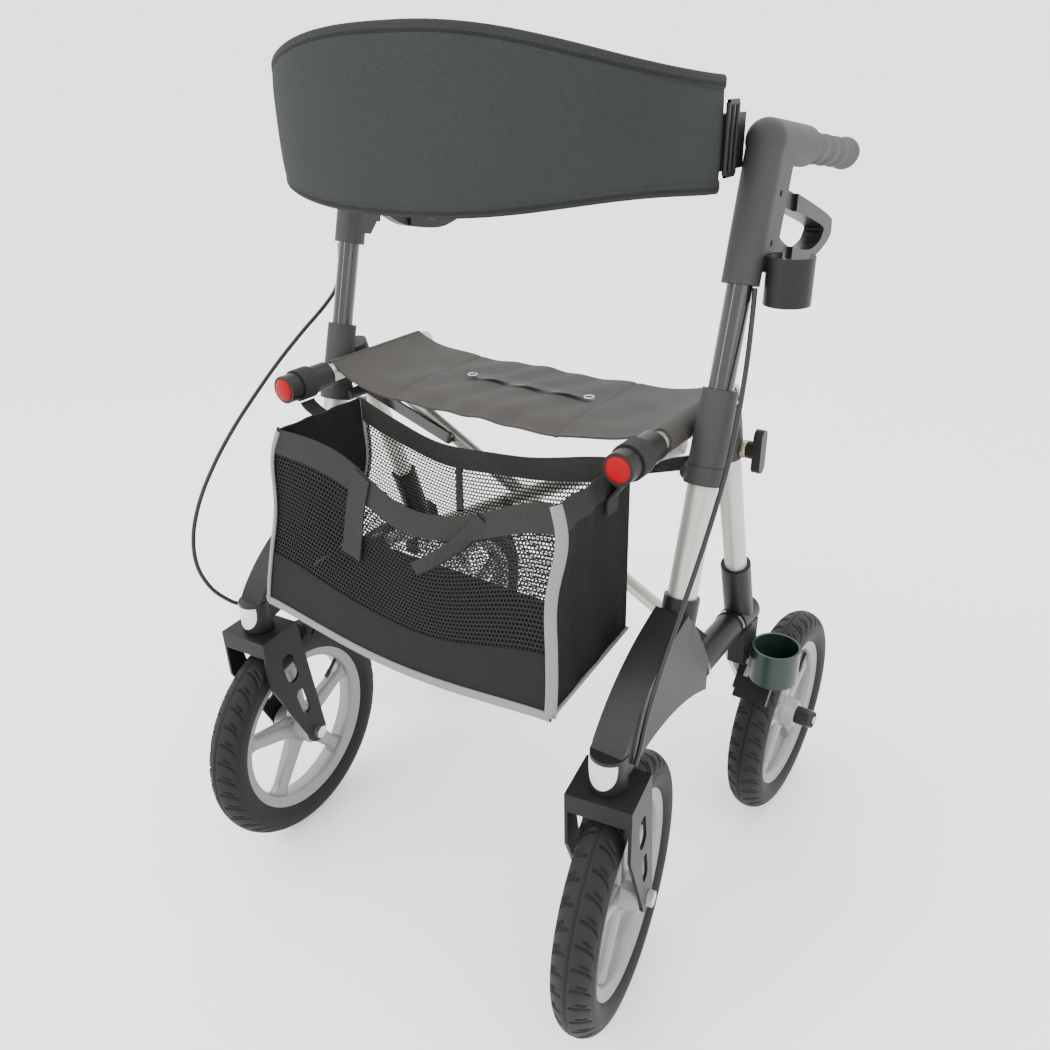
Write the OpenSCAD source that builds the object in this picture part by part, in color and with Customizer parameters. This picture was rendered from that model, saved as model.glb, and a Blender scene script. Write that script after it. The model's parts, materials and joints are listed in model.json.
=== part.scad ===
// All terrain rollator: two side frames on large wheels, joined by a folding
// cross brace, with seat, basket, back band, height adjustable handles and brakes.
// The front is at -Y, +X is the right side seen from the front, and Z is up.

/* [Side frames] */
// Half the distance between the middles of the two side frames
frame_half_w = 254; // [240:1:270]
// Lean of the front leg and the handle tube, in degrees
tube_lean = 16.2; // [14:0.1:18]
// Forward lean of the rear leg, in degrees
rear_lean = 18; // [16:0.5:20]
// Outer diameter of the front leg
front_leg_d = 30; // [28:0.5:32]
// Outer diameter of the rear leg
rear_leg_d = 25; // [22:0.5:26]
// Outer diameter of the sliding handle tube
handle_tube_d = 25; // [22:0.5:25.5]
// Wall of every tube
tube_wall = 2; // [1.2:0.1:2.4]
// Height of the lower tubes that carry the cross brace
lower_tube_z = 357; // [350:1:364]
// Outer diameter of the lower tubes
lower_tube_d = 24; // [20:0.5:26]
// Place of the foot of the front leg, front to back
foot_y = -93; // [-98:1:-88]
// Height of the foot of the front leg
foot_z = 458; // [450:1:466]
// Length of the front leg that shows between arm and collar
leg_show = 131; // [120:1:140]
// Height of the collar on top of the front leg
collar_h = 93; // [85:1:100]
// Width of the front arm
arm_w = 36; // [32:1:40]

/* [Wheels] */
// Diameter of the front tyres
front_tyre_d = 304; // [290:1:310]
// Diameter of the rear tyres
rear_tyre_d = 284; // [270:1:290]
// Width of the tyres
tyre_w = 46; // [40:1:48]
// Width of the rims
rim_w = 32; // [28:1:36]
// Diameter of the wheel hubs
hub_d = 44; // [36:1:50]
// Number of spokes in a rim
spokes = 5; // [3:1:7]
// Diameter of the axles
axle_d = 10; // [8:0.5:12]
// Place of the rear axle, front to back
rear_axle_y = 206; // [200:1:215]
// Distance from side frame to the middle of the rear wheel
rear_wheel_out = 26; // [25:0.5:28]

/* [Casters] */
// Place of the caster stems, front to back
stem_y = -233; // [-238:1:-228]
// Trail of the caster wheels behind their stems
caster_trail = 37; // [30:1:45]
// Diameter of the caster stems
stem_d = 20; // [16:0.5:22]
// Room between the two plates of a fork
fork_gap = 62; // [58:1:66]
// Thickness of the fork plates
fork_t = 3.5; // [2.5:0.1:5]
// Depth of the fork crown, front to back
crown_l = 60; // [50:1:66]
// Turn of the left caster as it stands, in degrees
left_caster_turn = -6; // [-30:1:30]
// Turn of the right caster as it stands, in degrees
right_caster_turn = 10; // [-30:1:30]

/* [Seat and basket] */
// Height of the seat rails
rail_z = 631; // [627:1:635]
// Outer diameter of the seat rails
rail_d = 22; // [20:0.5:24]
// Front end of the rail sleeves
rail_front_y = -166; // [-175:1:-160]
// Rear end of the seat rails
rail_rear_y = 86; // [78:1:95]
// Outer diameter of the rail sleeves
rail_sleeve_d = 32; // [28:0.5:33]
// Front edge of the seat
seat_front_y = -87; // [-90:1:-80]
// Rear edge of the seat
seat_rear_y = 72; // [60:1:76]
// Thickness of the seat cloth
seat_t = 3.5; // [2:0.1:5]
// Height of the basket
basket_h = 220; // [200:1:230]
// Depth of the basket at its bottom
basket_l = 146; // [126:1:160]
// Thickness of the basket walls
basket_t = 3; // [2:0.1:5]
// How deep the front rim of the basket hangs
front_sag = 46; // [0:1:110]
// How deep the rear rim of the basket hangs
rear_sag = 32; // [0:1:80]

/* [Cross brace] */
// Height of a brace bar's section
bar_h = 18; // [15:0.5:20]
// Thickness of a brace bar, front to back
bar_t = 14; // [11:0.5:14]
// Outer diameter of the brace sleeves on the lower tubes
brace_sleeve_d = 33; // [30:0.5:34]
// Length of the brace sleeves
brace_sleeve_l = 92; // [80:1:95]
// Thickness of the stay links
link_t = 4; // [2.5:0.1:4.5]
// Width of the stay links
link_w = 15; // [12:0.5:18]

/* [Handles and back band] */
// Length of handle tube that shows above the collar
tube_show = 98; // [94:1:110]
// Width of the handle housings
housing_w = 36; // [33:0.5:37]
// Length of the grips
grip_l = 150; // [130:1:155]
// Diameter of the grips
grip_d = 29; // [26:0.5:32]
// Downward tilt of the grips, in degrees
grip_tilt = 7; // [0:0.5:10]
// Width of the brake levers' finger pads
lever_pad_w = 22; // [18:0.5:26]
// How far the back band bows forward
band_bow = 170; // [120:1:180]
// Height of the back band in the middle
band_mid_h = 146; // [110:1:150]
// Height of the back band at its ends
band_end_h = 89; // [60:1:100]
// Thickness of the padding in the back band
band_t = 16; // [10:0.5:20]

/* [Cane holder] */
// Outer diameter of the cane cup
cup_d = 58; // [50:0.5:58]
// Height of the cane cup
cup_h = 45; // [35:1:50]
// Wall of the cane cup
cup_wall = 3; // [2:0.1:4]

/* [Hidden] */
$fn = 48;
// Overrun of every cut past the face that it opens
overrun = 1;
// Gap of pieces that are seated in each other
seat_gap = 0.2;
// Gap round a pin or an axle that turns
run_gap = 0.06;
// Gap round the sliding handle tube
slide_gap = 0.3;
// Gap between faces of pieces that move past each other
clear_gap = 1;

// Colours, as seen
silver_c = "#c9c6bf";
black_c = "#2b2b29";
dark_c = "#3c403d";
grey_c = "#8d8f8c";
rim_c = "#b4b5b4";
cloth_c = "#454744";
red_c = "#d8222b";
cup_c = "#2e3d36";
steel_c = "#9a9a96";

// The two sides, and the pieces that each of them has
SIDES = ["left", "right"];
SIDE_PIECES = [
  "front_leg", "rear_leg", "collar", "front_arm", "rear_joint", "lower_tube", "axle_plate",
  "handle_tube", "handle_housing", "grip", "brake_lever", "brake_cable", "caster_fork", "front_axle",
  "front_tyre", "front_rim", "rear_tyre", "rear_rim", "rail", "rail_sleeve", "rail_reflector",
  "brace_bar", "brace_sleeve", "stay_link", "collar_knob", "brake_arm", "backrest_clip"];

// Front leg, collar and handle, measured along the leaning tube from its foot
leg_sunk = 20;
collar_s = leg_show;
collar_top_s = collar_s + collar_h;
leg_top_drop = 14;
leg_top_s = collar_top_s - leg_top_drop;
housing_s = collar_top_s + tube_show;
housing_h = 146;
tube_in_housing = 44;
tube_in_leg = 122;
leg_r = front_leg_d / 2;
handle_tube_r = handle_tube_d / 2;
leg_bore_r = max(leg_r - tube_wall, handle_tube_r + slide_gap);
collar_wall = 5;
collar_r = leg_r + collar_wall;
collar_top_r = handle_tube_r + collar_wall;
collar_ring_h = 18;
collar_ring_step = 1.2;

// Rear leg, measured along its own axis from its foot
rear_leg_r = rear_leg_d / 2;
rear_foot_y = 62;
rear_foot_z = 414;
rear_leg_sunk = 24;
rear_leg_top = 216;
rear_socket_wall = 3;
rear_socket_s = 190;
rear_socket_h = 54;

// Lower tube and the collars that keep the brace sleeve in its place
lower_tube_r = lower_tube_d / 2;
arm_rear_y = -50;
lower_tube_sunk = 12;
joint_front_y = 60;
stop_ring_t = 5;
stop_ring_step = 1.5;
stop_ring_r = brace_sleeve_d / 2 + stop_ring_step;
brace_sleeve_y = (arm_rear_y + joint_front_y - brace_sleeve_l) / 2;

// Front arm, from the caster boss to the foot of the front leg
// The fork's crown keeps this room above the front tyre
crown_room = 23;
crown_t = 6;
crown_gap = 1;
boss_bottom_z = front_tyre_d + crown_room + crown_t + crown_gap;
boss_wall = 9;
boss_r = stem_d / 2 + boss_wall;
boss_h = 40;
nose_rise = 34;
arm_crown_rise = 104;
arm_crown_back = 36;
socket_wall = 3.5;
socket_r = leg_r + socket_wall;
socket_rise = 14;
socket_drop = 26;
arm_tail_h = 42;
arm_belly_rise = 22;
arm_steps = 28;
stem_seat = 34;

// Rear joint
joint_wall = 4.5;
joint_r = rear_leg_r + joint_wall;
joint_rise = 28;
joint_drop = 78;
joint_barrel_l = 42;
tongue_y = 62;
tongue_l = 40;
tongue_bottom_z = 300;
tongue_h = 48;
tongue_out = joint_r;

// Axle plate on the inner side of the rear wheel
plate_t = 6;
plate_end_r = 18;
plate_bolt_r = 5;
plate_bolt_head = 4;
plate_bolt_rise = 14;
rear_hub_l = 50;
nut_r = 10;
nut_h = 23.2;

// Brake arm and its shoe on the rear tyre
brake_pivot_share = 0.72;
brake_hub_r = 8;
brake_pin_r = 4;
brake_arm_t = 7;
brake_arm_h = 8;
shoe_gap = 4;
shoe_t = 9;
shoe_l = 28;
shoe_w = 40;
shoe_angle = 138;

// Wheels
tyre_r = tyre_w / 2;
bead_share = 0.78;
rim_depth = 11;
rim_lip_h = 5;
rim_lip_t = 2.6;
spoke_t = 16;
spoke_root_w = 27;
spoke_tip_w = 18;
front_hub_l = fork_gap - 2 * clear_gap;
axle_r = axle_d / 2;
axle_head_r = 9;
axle_head_h = 7;

// Caster fork
crown_lip_h = 16;
plate_foot_r = 16;
fork_window_top_w = 20;
fork_window_low_w = 15;
fork_window_top_share = 0.2;
fork_window_low_share = 0.55;
fork_window_h_share = 0.2;

// Seat rails
rail_r = rail_d / 2;
// The seat's hem round a rail runs just inside the collar
hem_gap = 0.2;
rail_half_w = frame_half_w - collar_r - rail_r - slide_gap - seat_t - hem_gap;
sleeve_r = rail_sleeve_d / 2;
sleeve_l = 66;
sleeve_cap = 12;
reflector_r = 12.5;
reflector_t = 4;
reflector_dome = 2;

// Cross brace, as it stands open
bar_end_drop = 2.4;
bar_end_z = rail_z - rail_r - bar_h / 2 - bar_end_drop;
brace_run = frame_half_w + rail_half_w;
brace_rise = bar_end_z - lower_tube_z;
brace_angle = atan2(brace_rise, brace_run);
brace_l = norm([brace_run, brace_rise]);
brace_lower_l = brace_l * frame_half_w / brace_run;
bar_front_y = -30;
bar_rear_y = -8;
bar_cap_l = 46;
bar_cap_wall = 3.5;
bar_seat = 22;
bar_end_over = 8;
bar_end_reach = 1;
saddle_l = 18;
saddle_wall = 4;
bolt_r = 5;
bolt_head_r = 8;
bolt_head_t = 4;

// Stay links between the collars and the brace
link_pin_in = 20;
link_pin_z = 590;
link_pin_r = 4;
link_boss_r = 7;
link_eye_r = 8;
link_rest_y = (bar_front_y + bar_rear_y) / 2;
link_drop = 43;
link_run = 131;

// Collar knob
knob_z = 605;
knob_stem_r = 4;
knob_hub_r = 9;
knob_hub_l = 14;
knob_wing_w = 46;
knob_wing_h = 15;
knob_wing_t = 9;
knob_nut_r = 8;
knob_nut_l = 6;

// Handle housing, measured along the handle tube and away from it
housing_r = housing_w / 2;
housing_back = 31;
housing_back_low = 17;
housing_back_s = 14;
housing_back_rise = 40;
housing_back_top = 128;
barrel_s = 449;
barrel_r = 19.5;
barrel_l = 96;
spigot_r = 9;
grip_end_wall = 12;
spigot_l = grip_l - grip_end_wall;
lever_slot_w = 17;
lever_pivot_y = 40;
lever_pivot_z = 836;
lever_pin_r = 3;
lever_hub_r = 7.5;
lever_arm_w = 14;
lever_slot_front = 12;
lever_slot_top = 18;
lever_slot_bottom = 54;
lever_slot_reach = 60;
lever_steps = 6;
screw_r = 3;
screw_depth = 5;
screw_back = 12;
screw_low_s = 40;
screw_mid_s = 84;

// Outline of a brake lever, away from its pivot
lever_top = [[0, 7], [34, 7], [72, -3], [166, -33]];
lever_tip = [[180, -45], [176, -58], [142, -69], [108, -71]];
lever_low = [[52, -60], [14, -40], [6, -48]];
lever_gap_top = [[22, -8], [68, -18], [146, -41]];
lever_gap_low = [[150, -51], [138, -58], [108, -60], [55, -48], [20, -28]];

// Grip
grip_end_flare = 2;
grip_end_r = grip_d / 2 + grip_end_flare;
grip_flare_l = 14;
grip_ridge_rise = 0.8;
grip_ridge_r = grip_d / 2 + grip_ridge_rise;
grip_ridges = 5;
grip_ridge_l = 5;

// Back band clip and band
clip_t = 11;
clip_l = 46;
clip_z = 867;
clip_h = 46;
clip_front_y = -22;
clip_slot_w = 4;
clip_slot_l = 30;
band_half_w = frame_half_w - housing_r - seat_gap - clip_t / 2;
band_z = 896;
band_mid_rise = 18;
band_swell_power = 3;
band_end_gap = 0.4;
band_square_share = 0.8;
band_steps = 32;
band_sides = 12;
band_end_t_share = 0.55;
band_edge_share = 0.8;

// Basket, from its bottom front edge
basket_bottom_z = 400;
basket_front_y = -250;
basket_gap = 3;
basket_half_w = rail_half_w - sleeve_r - basket_gap;
basket_back_lean = 40;
basket_rear_rise = 20;
rim_steps = 24;
front_rim_drop = 12;
front_rim_lean_share = 1.23;
front_rim_round_share = 1.9;
rear_rim_lean_share = 0.78;
rear_rim_round_share = 1.2;
hanger_l = 20;
hanger_t = 2.2;
hanger_back = 18;
hanger_block = 8;

// Cane cup and clip
cup_r = cup_d / 2;
cup_out = joint_r + seat_gap + cup_r;
cup_y = 93;
// The cup stands over the rear tyre with this room between them
cup_gap = 16;
cup_over = sqrt(pow(rear_tyre_d / 2 + cup_gap, 2) - pow(rear_axle_y - cup_y - cup_r, 2));
cup_z = rear_tyre_d / 2 + cup_over;
cup_bracket_l = 22;
cup_bracket_h = 16;
cup_bracket_z = tongue_bottom_z + 2 * clear_gap;
cane_clip_r = 22;
cane_clip_t = 4;
cane_clip_h = 44;
cane_clip_y = 14;
cane_clip_z = 750;
cane_clip_mouth = 26;
cane_neck_l = 14;
cane_neck_h = 14;

// Brake cables, from the handle housing to the front arm, as points out from the side frame
cable_d = 5;
cable_sides = 8;
right_cable = [
  [15.5, -5, 766], [17, -9, 750], [19, -15, 730], [22, -25, 705], [25, -38, 678], [27, -52, 645],
  [27.5, -66, 612], [27, -84, 578], [25.5, -106, 540], [24, -130, 504], [23, -155, 470],
  [22.5, -180, 437], [22, -201, 402], [21.8, -213, 372], [20.7, -219, 356]];
left_cable = [
  [15.5, -5, 766], [18, -5, 750], [23, -4, 730], [30, -8, 708], [37, -26, 688], [43, -60, 664],
  [47, -100, 636], [49, -140, 606], [50, -180, 574], [50, -216, 540], [49, -246, 504],
  [47, -266, 466], [44, -272, 428], [38, -264, 394], [29, -248, 370], [20.7, -236, 360]];

// Point at the share t of a curve from a to c that bends toward b
function curve(a, b, c, t) = a * pow(1 - t, 2) + b * 2 * t * (1 - t) + c * t * t;
function along(i, steps) = i / steps;
// Closed outline that runs smoothly through its corners
function between(a, b, c, d, t) = b + (c - a) * t / 2 + (a * 2 - b * 5 + c * 4 - d) * t * t / 2
  + (b * 3 - a - c * 3 + d) * t * t * t / 2;
function smooth_loop(p, steps) = [
  for (i = [0:len(p) - 1], k = [0:steps - 1])
    between(p[(i + len(p) - 1) % len(p)], p[i], p[(i + 1) % len(p)], p[(i + 2) % len(p)], along(k, steps))];

// Rings of a tube swept along points: each ring stands square to the mean of its two stretches
function unit(v) = v / norm(v);
function tangent(pts, i) =
  unit(pts[min(i + 1, len(pts) - 1)] - pts[max(i - 1, 0)]);
function ring(pts, i, r, sides) =
  let (t = tangent(pts, i), u = unit(cross(t, [1, 0, 0.2])), v = cross(t, u))
  [for (k = [0:sides - 1]) pts[i] + r * (cos(360 * k / sides) * u + sin(360 * k / sides) * v)];
function sweep_faces(rings, sides) = concat(
  [[for (k = [0:sides - 1]) sides - 1 - k]],
  [for (i = [0:rings - 2], k = [0:sides - 1])
    [i * sides + k, i * sides + (k + 1) % sides, (i + 1) * sides + (k + 1) % sides]],
  [for (i = [0:rings - 2], k = [0:sides - 1])
    [i * sides + k, (i + 1) * sides + (k + 1) % sides, (i + 1) * sides + k]],
  [[for (k = [0:sides - 1]) (rings - 1) * sides + k]]);

// Places
module on_side(side) {
  if (side == "right") children();
  else mirror([1, 0, 0]) children();
}
module on_frame() translate([frame_half_w, 0, 0]) children();
module on_tube(s) translate([frame_half_w, foot_y, foot_z]) rotate([-tube_lean, 0, 0])
  translate([0, 0, s]) children();
module on_rear(s) translate([frame_half_w, rear_foot_y, rear_foot_z]) rotate([rear_lean, 0, 0])
  translate([0, 0, s]) children();
module on_caster(side) translate([frame_half_w, stem_y, 0])
  rotate([0, 0, side == "right" ? right_caster_turn : left_caster_turn]) children();
module on_front_axle(side) on_caster(side) translate([0, caster_trail, front_tyre_d / 2])
  rotate([0, 90, 0]) children();
module on_rear_axle() translate([frame_half_w + rear_wheel_out, rear_axle_y, rear_tyre_d / 2])
  rotate([0, 90, 0]) children();
module on_barrel() on_tube(barrel_s) rotate([tube_lean - 90 - grip_tilt, 0, 0]) children();
module on_rail() translate([rail_half_w, 0, rail_z]) rotate([-90, 0, 0]) children();
// The bar that starts at the lower tube of this side and rises to the other side's rail
module on_bar(y) translate([frame_half_w, y, lower_tube_z]) rotate([0, brace_angle - 180, 0])
  mirror([0, 0, 1]) children();

// Shapes that repeat
module pipe(ro, ri, h) difference() {
  cylinder(r = ro, h = h);
  translate([0, 0, -overrun]) cylinder(r = ri, h = h + 2 * overrun);
}
module along_y(r, l) rotate([-90, 0, 0]) cylinder(r = r, h = l);
module along_x(r, l) rotate([0, 90, 0]) cylinder(r = r, h = l);
module side_plate(t) rotate([90, 0, 90]) linear_extrude(t) children();
module long_round(l, w) {
  translate([-l / 2, 0]) circle(d = w);
  translate([l / 2, 0]) circle(d = w);
  square([l, w], center = true);
}
module box_at(size) translate([-size[0] / 2, -size[1] / 2, 0]) cube(size);

// Side frame

module front_leg() color(silver_c) on_tube(-leg_sunk) pipe(leg_r, leg_bore_r, leg_top_s + leg_sunk);

module rear_leg() color(silver_c) on_rear(-rear_leg_sunk)
  pipe(rear_leg_r, rear_leg_r - tube_wall, rear_leg_top + rear_leg_sunk);

module link_pin() translate([frame_half_w - link_pin_in, 0, link_pin_z]) {
  pin_y = foot_y + (link_pin_z - foot_z) * tan(tube_lean);
  boss_end = link_rest_y - link_t / 2 - clear_gap / 2;
  translate([0, pin_y, 0]) along_y(link_boss_r, boss_end - pin_y);
  pin_start = boss_end - link_boss_r;
  translate([0, pin_start, 0]) along_y(link_pin_r, link_rest_y + link_t / 2 - pin_start);
}

function rear_leg_y(z) = rear_foot_y - (z - rear_foot_z) * tan(rear_lean);

module collar() color(dark_c) difference() {
  union() {
    on_tube(collar_s) cylinder(r = collar_r, h = collar_ring_h);
    on_tube(collar_s + collar_ring_h / 2)
      cylinder(r1 = collar_r - collar_ring_step, r2 = collar_top_r, h = collar_h - collar_ring_h / 2);
    on_rear(rear_socket_s) cylinder(r = rear_leg_r + rear_socket_wall, h = rear_socket_h);
    link_pin();
  }
  on_tube(collar_s - overrun)
    cylinder(r = leg_r + seat_gap, h = leg_top_s - collar_s + overrun + seat_gap);
  on_tube(leg_top_s)
    cylinder(r = handle_tube_r + slide_gap, h = collar_top_s - leg_top_s + overrun);
  on_rear(-rear_leg_sunk)
    cylinder(r = rear_leg_r + seat_gap, h = rear_leg_top + rear_leg_sunk + seat_gap);
}

module collar_knob() {
  stem_x = frame_half_w + rear_leg_r + rear_socket_wall + seat_gap;
  color(black_c) translate([stem_x, rear_leg_y(knob_z), knob_z]) {
    along_x(knob_stem_r, knob_nut_l + knob_hub_l);
    rotate([0, 90, 0]) cylinder(r = knob_nut_r, h = knob_nut_l, $fn = 6);
    translate([knob_nut_l, 0, 0]) along_x(knob_hub_r, knob_hub_l);
    translate([knob_nut_l + knob_hub_l / 2, 0, 0]) rotate([90, 0, 90]) linear_extrude(knob_wing_t)
      rotate(90) long_round(knob_wing_w - knob_wing_h, knob_wing_h);
  }
}

function arm_outline() =
  let (
    nose_top = [stem_y - boss_r / 2, boss_bottom_z + nose_rise],
    crown = [stem_y + arm_crown_back, boss_bottom_z + arm_crown_rise],
    socket_front = [foot_y - socket_r, foot_z + socket_rise / 2],
    socket_back = [foot_y + socket_r / 2, foot_z - socket_drop],
    tail_top = [arm_rear_y, lower_tube_z + arm_tail_h / 2],
    tail_bottom = [arm_rear_y, lower_tube_z - arm_tail_h / 2],
    belly = [(stem_y + arm_rear_y) / 2, lower_tube_z + arm_belly_rise],
    nose_bottom = [stem_y, boss_bottom_z + boss_h / 4])
  concat(
    [for (i = [0:arm_steps]) curve(nose_top, crown, socket_front, along(i, arm_steps))],
    [socket_back, tail_top],
    [for (i = [0:arm_steps]) curve(tail_bottom, belly, nose_bottom, along(i, arm_steps))]);

module front_arm() color(black_c) difference() {
  union() {
    intersection() {
      translate([frame_half_w - arm_w / 2, 0, 0]) side_plate(arm_w) polygon(arm_outline());
      translate([frame_half_w, 0, 0]) union() {
        translate([0, stem_y, 0]) cylinder(d = arm_w, h = foot_z + leg_show);
        translate([-arm_w / 2, stem_y, 0]) cube([arm_w, arm_rear_y - stem_y, foot_z + leg_show]);
      }
    }
    translate([frame_half_w, stem_y, boss_bottom_z]) cylinder(r = boss_r, h = boss_h);
    on_tube(-leg_sunk - socket_drop / 2)
      cylinder(r = socket_r, h = leg_sunk + socket_drop / 2 + socket_rise);
  }
  on_tube(-leg_sunk - seat_gap) cylinder(r = leg_r + seat_gap, h = leg_show);
  translate([frame_half_w, stem_y, boss_bottom_z - overrun])
    cylinder(r = stem_d / 2 + run_gap, h = stem_seat + overrun + seat_gap);
  translate([frame_half_w, arm_rear_y - lower_tube_sunk - seat_gap, lower_tube_z])
    along_y(lower_tube_r + seat_gap, lower_tube_sunk + seat_gap + overrun);
}

module lower_tube() color(black_c) on_frame() translate([0, 0, lower_tube_z]) {
  translate([0, arm_rear_y - lower_tube_sunk, 0]) rotate([-90, 0, 0])
    pipe(lower_tube_r, lower_tube_r - tube_wall, joint_front_y - arm_rear_y + 2 * lower_tube_sunk);
  for (y = [brace_sleeve_y - stop_ring_t - run_gap, brace_sleeve_y + brace_sleeve_l + run_gap])
    translate([0, y, 0]) rotate([-90, 0, 0])
      pipe(stop_ring_r, lower_tube_r - tube_wall / 2, stop_ring_t);
}

module rear_joint() color(black_c) difference() {
  union() {
    on_rear(-joint_drop) cylinder(r = joint_r, h = joint_drop + joint_rise);
    translate([frame_half_w, joint_front_y, lower_tube_z]) along_y(stop_ring_r, joint_barrel_l);
    translate([frame_half_w - plate_t / 2, tongue_y, tongue_bottom_z])
      cube([plate_t / 2 + tongue_out, tongue_l, tongue_h]);
  }
  on_rear(-rear_leg_sunk - seat_gap) cylinder(r = rear_leg_r + seat_gap, h = joint_drop + joint_rise);
  translate([frame_half_w, joint_front_y - overrun, lower_tube_z])
    along_y(lower_tube_r + seat_gap, lower_tube_sunk + seat_gap + overrun);
  // The inner half of the tongue is cut away for the axle plate
  translate([frame_half_w - plate_t / 2 - joint_r * 2, tongue_y - tongue_l, tongue_bottom_z - overrun])
    cube([joint_r * 2, tongue_l * 3, tongue_h + overrun - joint_r / 2]);
}

plate_x = frame_half_w - plate_t / 2 - seat_gap - plate_t;
rear_axle_z = rear_tyre_d / 2;
plate_top = [tongue_y + tongue_l / 2, tongue_bottom_z + tongue_h / 3];
brake_pivot = [rear_axle_y, rear_axle_z]
  + brake_pivot_share * (plate_top - [rear_axle_y, rear_axle_z]);

module axle_plate() color(silver_c) {
  axle = [rear_axle_y, rear_axle_z];
  reach = plate_top - axle;
  translate([plate_x, axle[0], axle[1]]) rotate([atan2(reach[1], reach[0]), 0, 0])
    rotate([90, 0, 90]) linear_extrude(plate_t) {
      circle(r = plate_end_r);
      translate([0, -plate_end_r]) square([norm(reach), plate_end_r * 2]);
      translate([norm(reach), 0]) circle(r = plate_end_r);
    }
  // Axle with its nut, brake pin and the two bolts of the tongue
  axle_end = frame_half_w + rear_wheel_out + rear_hub_l / 2 + clear_gap;
  translate([plate_x, axle[0], axle[1]]) along_x(axle_r, axle_end - plate_x + nut_h);
  translate([axle_end, axle[0], axle[1]]) along_x(nut_r, nut_h);
  translate([plate_x, brake_pivot[0], brake_pivot[1]])
    along_x(brake_pin_r, plate_t + seat_gap + brake_arm_t + clear_gap);
  for (rise = [-plate_bolt_rise / 2, plate_bolt_rise / 2])
    translate([plate_x - plate_bolt_head, plate_top[0], plate_top[1] + rise])
      along_x(plate_bolt_r, plate_bolt_head);
}

module brake_arm() color(black_c) {
  axle = [rear_axle_y, rear_axle_z];
  shoe_r = rear_tyre_d / 2 + shoe_gap;
  shoe = axle + (shoe_r + shoe_t / 2) * [cos(shoe_angle), sin(shoe_angle)];
  reach = shoe - brake_pivot;
  arm_x = plate_x + plate_t + seat_gap;
  translate([arm_x, 0, 0]) side_plate(brake_arm_t) difference() {
    union() {
      translate(brake_pivot) circle(r = brake_hub_r);
      translate((brake_pivot + shoe) / 2)
        rotate(atan2(reach[1], reach[0])) long_round(norm(reach), brake_arm_h);
    }
    translate(brake_pivot) circle(r = brake_pin_r + run_gap);
  }
  translate([arm_x + brake_arm_t / 2, 0, 0]) side_plate(shoe_w + brake_arm_t / 2)
    translate(axle) rotate(shoe_angle) translate([shoe_r, -shoe_l / 2]) square([shoe_t, shoe_l]);
}

// Wheels

module tyre(d) color(black_c) {
  mid = d / 2 - tyre_r;
  bead = mid - tyre_r * bead_share;
  rotate_extrude($fn = 96) difference() {
    translate([mid, 0]) circle(r = tyre_r);
    translate([0, -tyre_r]) square([bead, tyre_w]);
    for (z = [-tyre_w, rim_w / 2 - rim_lip_t - seat_gap])
      translate([0, z]) square([bead + rim_lip_h, tyre_w - rim_w / 2 + rim_lip_t + seat_gap]);
  }
}

module rim(d, hub_l) color(rim_c) difference() {
  bead = d / 2 - tyre_r - tyre_r * bead_share - seat_gap;
  union() {
    rotate_extrude($fn = 96) {
      translate([bead - rim_depth, -rim_w / 2]) square([rim_depth, rim_w]);
      for (z = [-rim_w / 2, rim_w / 2 - rim_lip_t])
        translate([bead - rim_depth, z]) square([rim_depth + rim_lip_h, rim_lip_t]);
    }
    translate([0, 0, -hub_l / 2]) cylinder(d = hub_d, h = hub_l);
    for (i = [0:spokes - 1]) rotate(90 + i * 360 / spokes) translate([0, 0, -spoke_t / 2])
      linear_extrude(spoke_t) polygon([
        [0, -spoke_root_w / 2], [bead - rim_depth / 2, -spoke_tip_w / 2],
        [bead - rim_depth / 2, spoke_tip_w / 2], [0, spoke_root_w / 2]]);
  }
  translate([0, 0, -hub_l / 2 - overrun]) cylinder(r = axle_r + run_gap, h = hub_l + 2 * overrun);
}

module front_tyre(side) on_front_axle(side) tyre(front_tyre_d);
module front_rim(side) on_front_axle(side) rim(front_tyre_d, front_hub_l);
module rear_tyre() on_rear_axle() tyre(rear_tyre_d);
module rear_rim() on_rear_axle() rim(rear_tyre_d, rear_hub_l);

module front_axle(side) color(steel_c) on_front_axle(side) {
  grip_w = fork_gap + 2 * fork_t;
  translate([0, 0, -grip_w / 2 - axle_head_h]) cylinder(r = axle_r, h = grip_w + 2 * axle_head_h);
  for (z = [-grip_w / 2 - axle_head_h - seat_gap, grip_w / 2 + seat_gap])
    translate([0, 0, z]) cylinder(r = axle_head_r, h = axle_head_h, $fn = 6);
}

module fork_plate() {
  crown_z = boss_bottom_z - crown_gap - crown_t;
  axle = [caster_trail, front_tyre_d / 2];
  reach = crown_z - axle[1];
  difference() {
    union() {
      polygon([
        [-crown_l / 2, crown_z + crown_t], [crown_l / 2, crown_z + crown_t],
        [axle[0] + plate_foot_r, axle[1]], [axle[0] - plate_foot_r, axle[1]],
        [-crown_l / 2, crown_z - reach / 3]]);
      translate(axle) circle(r = plate_foot_r);
    }
    translate(axle) circle(r = axle_r + seat_gap);
    for (w = [[fork_window_top_share, fork_window_top_w], [fork_window_low_share, fork_window_low_w]]) {
      middle = [axle[0] * w[0], crown_z - reach * (w[0] + fork_window_h_share / 2)];
      translate(middle) rotate(90 + atan2(axle[0], reach))
        long_round(reach * fork_window_h_share - w[1] / 2, w[1]);
    }
  }
}

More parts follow.
